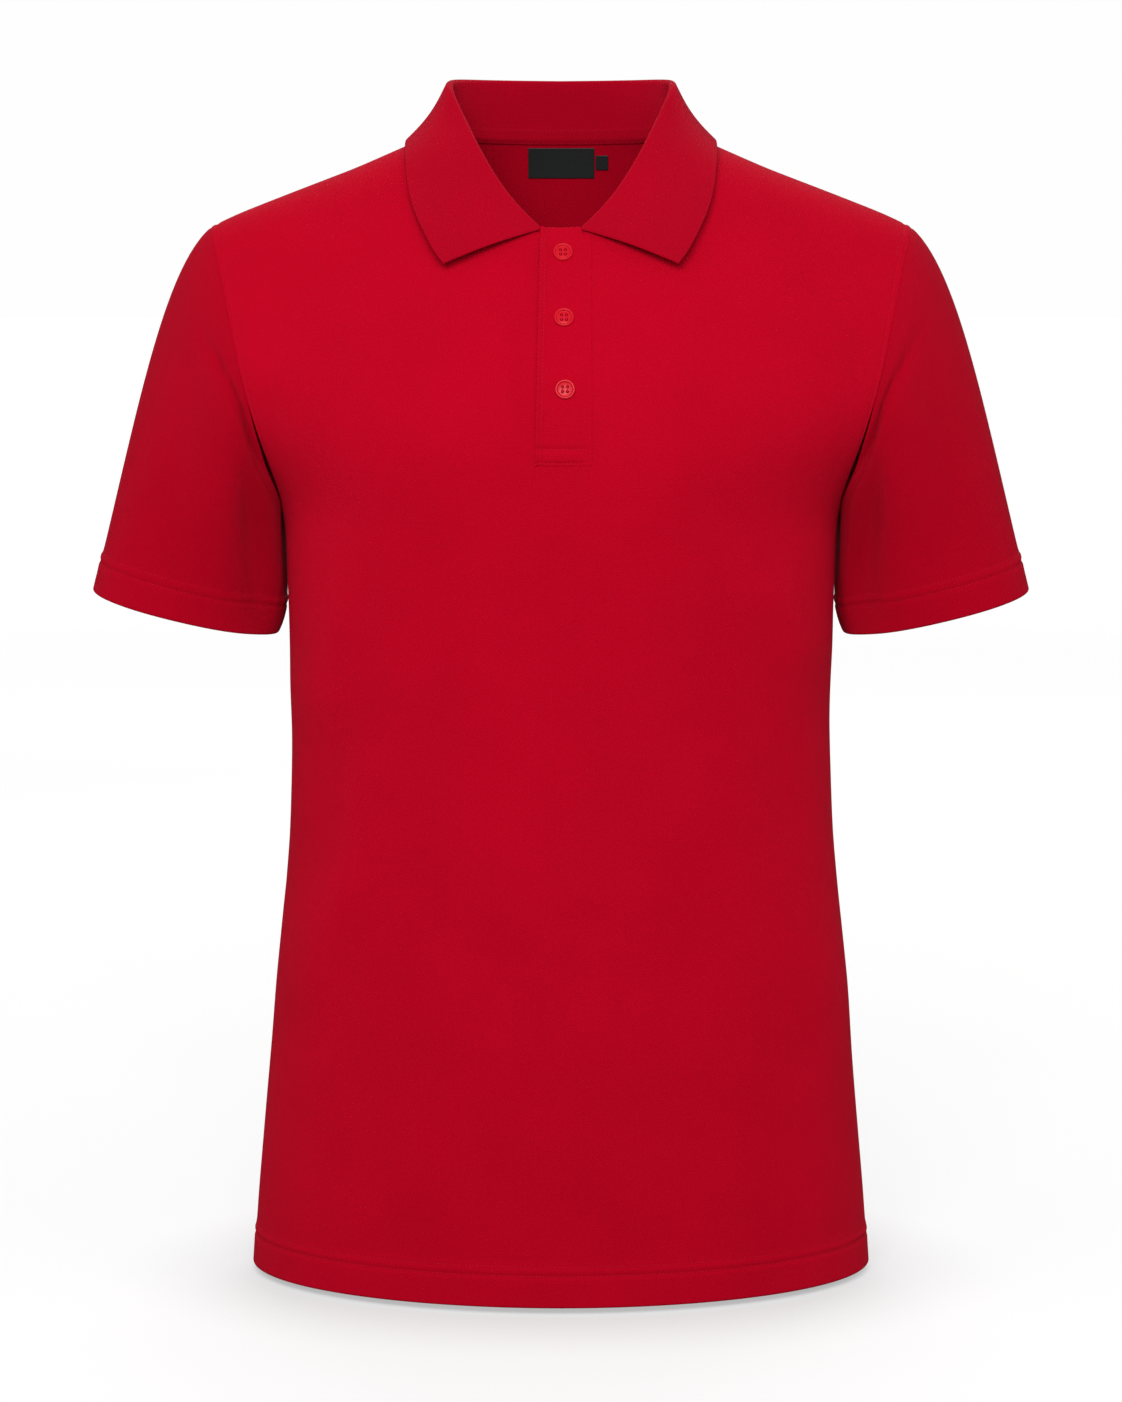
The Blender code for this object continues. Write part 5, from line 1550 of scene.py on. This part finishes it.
@made_once("materials", "tape_red")
def tape_material(name, scene):
    cloth = scene.polo_cloth
    tape = scene.polo_trim.tape_colour
    # painted shade: the hollows of the tape's weave are drawn darker
    dark = toned(tape, TAPE_SHADE)
    return cloth_material(name, rib_group(), TAPE_WEAVE,
                          (tape, dark), cloth.relief * RIB_RELIEF_SHARE, cloth, sheen_share=0.5)


@made_once("materials", "label_satin")
def label_material(name, scene):
    """Black satin with fine slanted threads and a soft shine: real gloss, and a painted highlight
    that draws the raised threads lighter.
    """
    trim = scene.polo_trim
    material, tree, shader = new_material(name)
    weave = place_group(tree, rib_group(), {"Flat": flat_place(tree), **LABEL_WEAVE})
    # painted highlight: the raised threads are drawn lighter
    light = toned(trim.label_colour, LABEL_PAINTED_SHINE)
    tree.links.new(mixed_colour(tree, weave.outputs["Height"], trim.label_colour, light),
                   shader.inputs["Base Color"])
    tree.links.new(bump(tree, weave.outputs["Height"], 0.00015, 0.8), shader.inputs["Normal"])
    shader.inputs["Roughness"].default_value = 0.5
    shader.inputs["Specular IOR Level"].default_value = 0.35
    return material


@made_once("materials", "thread_red")
def thread_material(name, scene):
    """Twisted sewing thread, with painted shade that draws the twist's grooves darker."""
    trim = scene.polo_trim
    material, tree, shader = new_material(name)
    twist = tree.nodes.new("ShaderNodeTexWave")
    twist.bands_direction = "DIAGONAL"
    twist.inputs["Scale"].default_value = THREAD_TWIST
    tree.links.new(object_place(tree), twist.inputs["Vector"])
    # painted shade: the low parts of the twist are drawn darker
    dark = toned(trim.thread_colour, THREAD_SHADE)
    tree.links.new(mixed_colour(tree, twist.outputs["Fac"], dark, trim.thread_colour),
                   shader.inputs["Base Color"])
    tree.links.new(bump(tree, twist.outputs["Fac"], 0.0001, 0.6), shader.inputs["Normal"])
    shader.inputs["Roughness"].default_value = 0.6
    shader.inputs["Specular IOR Level"].default_value = 0.1
    return material


@made_once("materials", "button_red")
def button_material(name, scene):
    """Polished plastic with faint clouds in it."""
    trim = scene.polo_trim
    material, tree, shader = new_material(name)
    clouds = noise_node(tree, object_place(tree), BUTTON_CLOUDS, 3.0)
    dark = toned(trim.button_colour, BUTTON_SHADE)
    tree.links.new(mixed_colour(tree, clouds, dark, trim.button_colour),
                   shader.inputs["Base Color"])
    tree.links.new(ranged(tree, clouds, *BUTTON_GLOSS), shader.inputs["Roughness"])
    shader.inputs["Specular IOR Level"].default_value = 0.16
    return material


# ---------------------------------------------------------------- modelling by hand
def deselect_all():
    if bpy.context.object and bpy.context.object.mode != "OBJECT":
        bpy.ops.object.mode_set(mode="OBJECT")
    bpy.ops.object.select_all(action="DESELECT")


def apply_modifier(thing, kind, **settings):
    modifier = thing.modifiers.new(kind.title(), kind)
    for name, value in settings.items():
        setattr(modifier, name, value)
    bpy.context.view_layer.objects.active = thing
    bpy.ops.object.modifier_apply(modifier=modifier.name)


def select_faces(thing, picks):
    """Selects the faces that a test of centre and normal picks, and enters edit mode."""
    bpy.ops.object.mode_set(mode="OBJECT")
    for vertex in thing.data.vertices:
        vertex.select = False
    for edge in thing.data.edges:
        edge.select = False
    for face in thing.data.polygons:
        face.select = bool(picks(face.center, face.normal))
    bpy.ops.object.mode_set(mode="EDIT")
    bpy.ops.mesh.select_mode(type="FACE")


def model_button(hole_radius, hole_offset):
    """One button, face up at the origin: a disc, a raised rim, a sunk face, four holes."""
    deselect_all()
    bpy.ops.mesh.primitive_cylinder_add(
        vertices=BUTTON_SIDES, radius=BUTTON_RADIUS, depth=BUTTON_HEIGHT,
        location=(0, 0, BUTTON_HEIGHT / 2))
    button = bpy.context.object
    select_faces(button, lambda centre, normal: normal.z > FACING)
    bpy.ops.mesh.inset(thickness=BUTTON_RADIUS * BUTTON_RIM)
    bpy.ops.mesh.inset(thickness=BUTTON_RADIUS * BUTTON_BANK)
    bpy.ops.transform.translate(value=(0, 0, -BUTTON_HEIGHT * BUTTON_SINK))
    bpy.ops.mesh.inset(thickness=BUTTON_RADIUS * BUTTON_STEP)
    bpy.ops.transform.translate(value=(0, 0, BUTTON_HEIGHT * BUTTON_RAISE))
    select_faces(button, lambda centre, normal: normal.z < -FACING)
    bpy.ops.mesh.inset(thickness=BUTTON_RADIUS * BUTTON_FOOT)
    bpy.ops.transform.translate(value=(0, 0, -BUTTON_HEIGHT * BUTTON_UNDER))
    bpy.ops.object.mode_set(mode="OBJECT")
    apply_modifier(button, "BEVEL", width=BUTTON_BEVEL, segments=4, limit_method="ANGLE",
                   angle_limit=math.radians(BUTTON_BEVEL_ANGLE))
    for across in (-1, 1):
        for up in (-1, 1):
            bpy.ops.mesh.primitive_cylinder_add(
                vertices=HOLE_SIDES, radius=hole_radius, depth=BUTTON_HEIGHT * 3,
                location=(across * hole_offset, up * hole_offset, 0))
            drill = bpy.context.object
            apply_modifier(button, "BOOLEAN", operation="DIFFERENCE", object=drill, solver="EXACT")
            bpy.data.objects.remove(drill, do_unlink=True)
    deselect_all()
    button.select_set(True)
    bpy.context.view_layer.objects.active = button
    bpy.ops.object.shade_smooth_by_angle(angle=math.radians(BUTTON_SHARP))
    return button


def model_stitch(length, width):
    """One stitch along X at the origin: a round thread that dips into the cloth at its
    ends. Returns its points and faces, and leaves nothing in the scene."""
    deselect_all()
    bpy.ops.mesh.primitive_uv_sphere_add(
        segments=8, ring_count=5, radius=0.5, location=(0, 0, 0), rotation=(0, math.pi / 2, 0))
    stitch = bpy.context.object
    bpy.ops.object.transform_apply(location=True, rotation=True, scale=True)
    bpy.ops.transform.resize(value=(length, width, width * STITCH_FLAT))
    bpy.ops.object.transform_apply(location=True, rotation=True, scale=True)
    points = np.array([vertex.co for vertex in stitch.data.vertices])
    faces = [tuple(face.vertices) for face in stitch.data.polygons]
    bpy.data.objects.remove(stitch, do_unlink=True)
    return points, faces


def along_line(points, normals, pitch, closed=False):
    """Places a pitch apart along a line, with their way along, way across and normal."""
    if closed:
        points = np.concatenate([points, points[:1]])
        normals = np.concatenate([normals, normals[:1]])
    length = running(points)
    count = max(1, int(round(length[-1] / pitch)))
    at = (np.arange(count) + 0.5) * length[-1] / count
    place = points_at(at, length, points)
    after = points_at(at + pitch / 8, length, points)
    before = points_at(at - pitch / 8, length, points)
    normal = unit(points_at(at, length, normals))
    way = unit(after - before)
    across = unit(np.cross(normal, way))
    return place, way, across, np.cross(way, across)


def stitches_object(name, rows, trim, material):
    """Rows of stitches joined in one mesh. Each row is points, normals and closed."""
    template, shape = model_stitch(trim.stitch_length, trim.thread_width)
    verts = []
    faces = []
    for points, normals, closed in rows:
        placed = along_line(points, normals, trim.stitch_pitch, closed)
        for place, way, across, normal in zip(*placed):
            start = len(verts)
            turned = template @ np.stack([way, across, normal])
            verts.extend((place + turned + normal * trim.thread_width * STITCH_PROUD).tolist())
            faces.extend([tuple(start + k for k in face) for face in shape])
    return mesh_object(name, verts, faces, material)


def declare_sheet(cloth):
    """Works out the cloth's flat size and area; nothing more is done with them."""
    flat, area = cloth.cut()


def dress(thing, slot, *nodes):
    """The piece moves with the shirt and stands for its nodes, whose solids it hides. Its slot is
    not used.
    """
    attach(thing, "root")
    if nodes:
        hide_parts(*nodes)


# ---------------------------------------------------------------- operators
class POLO_OT_add_panels(bpy.types.Operator):
    """Adds the knitted front and back with their hems"""

    bl_idname = "polo.add_panels"
    bl_label = "Front and Back"

    def execute(self, context):
        material = pique_material(context.scene)
        for side, node in ((FRONT, "front"), (BACK, "back")):
            cloth = panel_cloth(side)
            panel = sheet_object(f"{node}_cloth", cloth, material)
            dress(panel, "pique", node)
            declare_sheet(cloth)
        return {"FINISHED"}


class POLO_OT_add_sleeves(bpy.types.Operator):
    """Adds both sleeves with their turned hems"""

    bl_idname = "polo.add_sleeves"
    bl_label = "Sleeves"

    def execute(self, context):
        material = shaded_sleeve_material(context.scene)
        for node, hand in HANDS.items():
            cloth = mirrored(sleeve_cloth(), hand)
            sleeve = sheet_object(f"{node}_cloth", cloth, material)
            dress(sleeve, "pique", node)
            declare_sheet(cloth)
        return {"FINISHED"}


class POLO_OT_add_collar(bpy.types.Operator):
    """Adds the flat-knit collar, folded over its stand"""

    bl_idname = "polo.add_collar"
    bl_label = "Collar"

    def execute(self, context):
        cloth = collar_cloth()
        collar = sheet_object("collar_cloth", cloth, collar_material(context.scene))
        dress(collar, "collar_knit", "collar")
        declare_sheet(cloth)
        return {"FINISHED"}


class POLO_OT_add_neck_trim(bpy.types.Operator):
    """Adds the tape, the bare label and its tab inside the back of the neck"""

    bl_idname = "polo.add_neck_trim"
    bl_label = "Neck Tape and Label"

    def execute(self, context):
        cloth = tape_cloth()
        tape = sheet_object("neck_tape_cloth", cloth, tape_material(context.scene))
        dress(tape, "tape", "neck_tape")
        satin = label_material(context.scene)
        made = {}
        cloths = {}
        for node, row in LABELS.items():
            size = dict(zip(LABEL_NAMES, row))
            out = -(WALL + GAP + LABEL_WALL / 2)
            cloths[node] = patch_cloth(BACK, size["left"], size["right"], size["bottom"],
                                       size["top"], out, LABEL_WALL * LABEL_SHARE, LABEL_STEP)
            made[node] = sheet_object(f"{node}_cloth", cloths[node], satin)
            dress(made[node], "label", node)
        declare_sheet(cloths["label"])
        return {"FINISHED"}


class POLO_OT_add_placket(bpy.types.Operator):
    """Adds the upper and lower strips of the front opening"""

    bl_idname = "polo.add_placket"
    bl_label = "Placket"

    def execute(self, context):
        material = pique_material(context.scene)
        cloth = placket_cloth()
        top = sheet_object("placket_top_cloth", cloth, material)
        dress(top, "pique", "placket_top")
        declare_sheet(cloth)
        out = -(WALL + GAP + WALL / 2)
        cloth = patch_cloth(FRONT, -UNDER_HALF_WIDTH, UNDER_HALF_WIDTH, PLACKET_FOOT, PLACKET_TOP,
                            out, WALL, UNDER_STEP)
        under = sheet_object("placket_under_cloth", cloth, material)
        dress(under, "pique", "placket_under")
        declare_sheet(cloth)
        return {"FINISHED"}


def button_place(across, height):
    """Where a button's underside lies on the placket, and how it is turned."""
    point, normal = folded_points(FRONT, body_points(FRONT, np.array([across]), np.array([height])))
    base = Vector(point[0] + normal[0] * (GAP + PLACKET_WALL + GAP))
    up = Vector(normal[0])
    right = up.cross(Vector((0.0, 0.0, 1.0))).normalized()
    turned = Matrix((right, up.cross(right), up)).transposed().to_4x4()
    return Matrix.Translation(base) @ turned


class POLO_OT_add_buttons(bpy.types.Operator):
    """Adds the three four-hole buttons, each sewn on with thread"""

    bl_idname = "polo.add_buttons"
    bl_label = "Buttons"

    def execute(self, context):
        trim = context.scene.polo_trim
        material = button_material(context.scene)
        thread = thread_material(context.scene)
        pattern = model_button(trim.hole_radius, trim.hole_offset)
        bar, shape = model_stitch(trim.hole_offset * 2 + trim.hole_radius, trim.hole_radius)
        for node, place in BUTTON_PLACES.items():
            matrix = button_place(*place)
            button = bpy.data.objects.new(f"{node}_face", pattern.data.copy())
            context.scene.collection.objects.link(button)
            button.data.transform(matrix)
            button.data.materials.clear()
            button.data.materials.append(material)
            dress(button, "button", node)
            verts = []
            faces = []
            for across in (-1, 1):
                start = len(verts)
                for point in bar:
                    at = Vector((across * trim.hole_offset + point[1], point[0],
                                 BUTTON_HEIGHT * BUTTON_THREAD + point[2]))
                    verts.append(matrix @ at)
                faces.extend([tuple(start + k for k in reversed(face)) for face in shape])
            dress(mesh_object(f"{node}_thread", verts, faces, thread), "button")
        bpy.data.objects.remove(pattern, do_unlink=True)
        return {"FINISHED"}


class POLO_OT_add_stitching(bpy.types.Operator):
    """Adds the stitch rows of the hems, cuffs, armholes, placket and tape"""

    bl_idname = "polo.add_stitching"
    bl_label = "Stitching"

    def execute(self, context):
        trim = context.scene.polo_trim
        thread = thread_material(context.scene)
        for side, node in ((FRONT, "front"), (BACK, "back")):
            cloth = panel_cloth(side)
            rows = [(*cloth.line(1, cloth.from_hem, row), False) for row in HEM_ROWS]
            dress(stitches_object(f"{node}_hem_stitches", rows, trim, thread), "pique")
            rows = []
            half = len(cloth.outer) // 2
            above = cloth.edge_height > UNDERARM_HEIGHT + TOPSTITCH
            for part in (slice(0, half), slice(half, None)):
                piece = Cloth(cloth.outer[part], cloth.inner[part], cloth.flat[part])
                points, normals = piece.line(0, cloth.to_side[part], TOPSTITCH)
                rows.append((points[above], normals[above], False))
            dress(stitches_object(f"{node}_armhole_stitches", rows, trim, thread), "pique")
        for node, hand in HANDS.items():
            cloth = mirrored(sleeve_cloth(), hand)
            rows = [(*cloth.line(1, cloth.from_cuff, row), True) for row in CUFF_ROWS]
            dress(stitches_object(f"{node}_hem_stitches", rows, trim, thread), "pique")
        self.add_placket_rows(trim, thread)
        self.add_neck_rows(trim, thread)
        return {"FINISHED"}

    def add_placket_rows(self, trim, thread):
        cloth = placket_cloth()
        points, normals = cloth.line(0, cloth.from_fold, PLACKET_EDGE_ROW)
        above = cloth.from_foot[0] > PLACKET_BOX_ROWS[0]
        rows = [(points[above], normals[above], False)]
        for row in PLACKET_BOX_ROWS:
            points, normals = cloth.line(1, cloth.from_foot, row)
            inside = np.minimum(cloth.from_fold[:, 0], cloth.to_seam[:, 0]) > ROW_CLEAR
            rows.append((points[inside], normals[inside], False))
        dress(stitches_object("placket_stitches", rows, trim, thread), "pique")

    def add_neck_rows(self, trim, thread):
        tape = tape_cloth()
        width = TAPE_ABOVE + TAPE_BELOW
        rows = [(*tape.line(1, tape.from_edge, at), False)
                for at in (TAPE_ROWS[0], width - TAPE_ROWS[1])]
        dress(stitches_object("tape_stitches", rows, trim, thread), "tape")


class POLO_OT_add_stage(bpy.types.Operator):
    """Adds the pale floor, the soft lights, the white surroundings and the camera"""

    bl_idname = "polo.add_stage"
    bl_label = "Stage"

    def execute(self, context):
        scene = context.scene
        stage = scene.polo_stage
        self.add_floor(stage)
        self.add_lights(scene, stage)
        self.add_camera(scene, stage)
        scene.view_settings.view_transform = "Standard"
        scene.view_settings.look = "None"
        return {"FINISHED"}

    def add_floor(self, stage):
        deselect_all()
        height = SOLID_BOX[0].z - stage.floor_drop
        bpy.ops.mesh.primitive_plane_add(size=stage.floor_size, location=(0, 0, 0))
        floor = bpy.context.object
        floor.name = "floor"
        floor.data.transform(Matrix.Translation((0.0, 0.0, height)))
        material, tree, shader = new_material("pale_floor")
        shader.inputs["Base Color"].default_value = stage.floor_colour
        shader.inputs["Roughness"].default_value = 0.9
        shader.inputs["Specular IOR Level"].default_value = 0.1
        path = tree.nodes.new("ShaderNodeLightPath")
        away = tree.nodes.new("ShaderNodeVectorMath")
        away.operation = "LENGTH"
        tree.links.new(object_place(tree), away.inputs[0])
        fade = tree.nodes.new("ShaderNodeValToRGB")
        ramp = fade.color_ramp.elements
        for _ in FLOOR_GLOW[2:]:
            ramp.new(0.5)
        for element, (distance, glow) in zip(ramp, FLOOR_GLOW):
            element.position = distance / FLOOR_REACH
            element.color = (glow, glow, glow, 1.0)
        share = math_node(tree, "DIVIDE", away.outputs["Value"], FLOOR_REACH)
        tree.links.new(share, fade.inputs["Fac"])
        # Painted contact shadow: ambient occlusion dims the floor's own glow close under the hem.
        open_sky = tree.nodes.new("ShaderNodeAmbientOcclusion")
        open_sky.samples = 8
        open_sky.inputs["Distance"].default_value = stage.contact_reach
        shaded = math_node(tree, "MULTIPLY", open_sky.outputs["AO"], stage.painted_contact_shade)
        shaded = math_node(tree, "ADD", shaded, 1.0 - stage.painted_contact_shade)
        glow = math_node(tree, "MULTIPLY", fade.outputs["Color"], shaded)
        glow = math_node(tree, "MULTIPLY", glow, path.outputs["Is Camera Ray"])
        glow = math_node(tree, "MULTIPLY", glow, stage.floor_glow)
        tree.links.new(glow, shader.inputs["Emission Strength"])
        shader.inputs["Emission Color"].default_value = (1.0, 1.0, 1.0, 1.0)
        floor.data.materials.append(material)

    def add_lights(self, scene, stage):
        world = bpy.data.worlds.new("white_surroundings")
        world.use_nodes = True
        tree = world.node_tree
        background = tree.nodes["Background"]
        background.inputs["Color"].default_value = (1.0, 1.0, 1.0, 1.0)
        path = tree.nodes.new("ShaderNodeLightPath")
        strength = ranged(tree, path.outputs["Is Camera Ray"], stage.ambient, stage.backdrop)
        tree.links.new(strength, background.inputs["Strength"])
        scene.world = world
        for row in LIGHTS:
            lamp = dict(zip(LIGHT_NAMES, row))
            deselect_all()
            place = Vector((lamp["x"], lamp["y"], lamp["z"]))
            bpy.ops.object.light_add(type="AREA", location=place)
            light = bpy.context.object
            light.name = lamp["name"]
            light.data.shape = "RECTANGLE"
            light.data.size = lamp["width"]
            light.data.size_y = lamp["height"]
            light.data.energy = getattr(stage, lamp["power"])
            light.rotation_euler = (Vector(LIGHT_AIM) - place).to_track_quat("-Z", "Y").to_euler()

    def add_camera(self, scene, stage):
        deselect_all()
        bpy.ops.object.camera_add(
            location=(0.0, -stage.camera_distance, stage.camera_height),
            rotation=(math.pi / 2 - stage.camera_pitch, 0.0, 0.0))
        camera = bpy.context.object
        camera.data.lens = stage.lens
        camera.data.sensor_width = 36.0
        camera.data.sensor_fit = "AUTO"
        camera.data.clip_start = 0.05
        camera.data.clip_end = 100.0
        camera.data.dof.use_dof = False
        scene.camera = camera


class POLO_PT_shirt(bpy.types.Panel):
    """Lists the shirt's settings and its pieces"""

    bl_label = "Polo Shirt"
    bl_idname = "POLO_PT_shirt"
    bl_space_type = "VIEW_3D"
    bl_region_type = "UI"
    bl_category = "Polo Shirt"

    def draw(self, context):
        layout = self.layout
        for group in (context.scene.polo_cloth, context.scene.polo_trim, context.scene.polo_stage):
            box = layout.box()
            for name in group.__annotations__:
                box.prop(group, name)
        for operator in OPERATORS:
            layout.operator(operator.bl_idname)


OPERATORS = (
    POLO_OT_add_panels,
    POLO_OT_add_sleeves,
    POLO_OT_add_collar,
    POLO_OT_add_neck_trim,
    POLO_OT_add_placket,
    POLO_OT_add_buttons,
    POLO_OT_add_stitching,
    POLO_OT_add_stage,
)
SETTINGS = {
    "polo_cloth": PoloClothSettings,
    "polo_trim": PoloTrimSettings,
    "polo_stage": PoloStageSettings,
}


def register():
    for name, group in SETTINGS.items():
        bpy.utils.register_class(group)
        setattr(bpy.types.Scene, name, bpy.props.PointerProperty(type=group))
    for operator in OPERATORS:
        bpy.utils.register_class(operator)
    bpy.utils.register_class(POLO_PT_shirt)


def unregister():
    bpy.utils.unregister_class(POLO_PT_shirt)
    for operator in reversed(OPERATORS):
        bpy.utils.unregister_class(operator)
    for name, group in SETTINGS.items():
        delattr(bpy.types.Scene, name)
        bpy.utils.unregister_class(group)


def main():
    register()
    bpy.ops.polo.add_panels()
    bpy.ops.polo.add_sleeves()
    bpy.ops.polo.add_neck_trim()
    bpy.ops.polo.add_collar()
    bpy.ops.polo.add_placket()
    bpy.ops.polo.add_buttons()
    bpy.ops.polo.add_stitching()
    bpy.ops.polo.add_stage()
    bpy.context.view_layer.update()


if __name__ == "__main__":
    main()
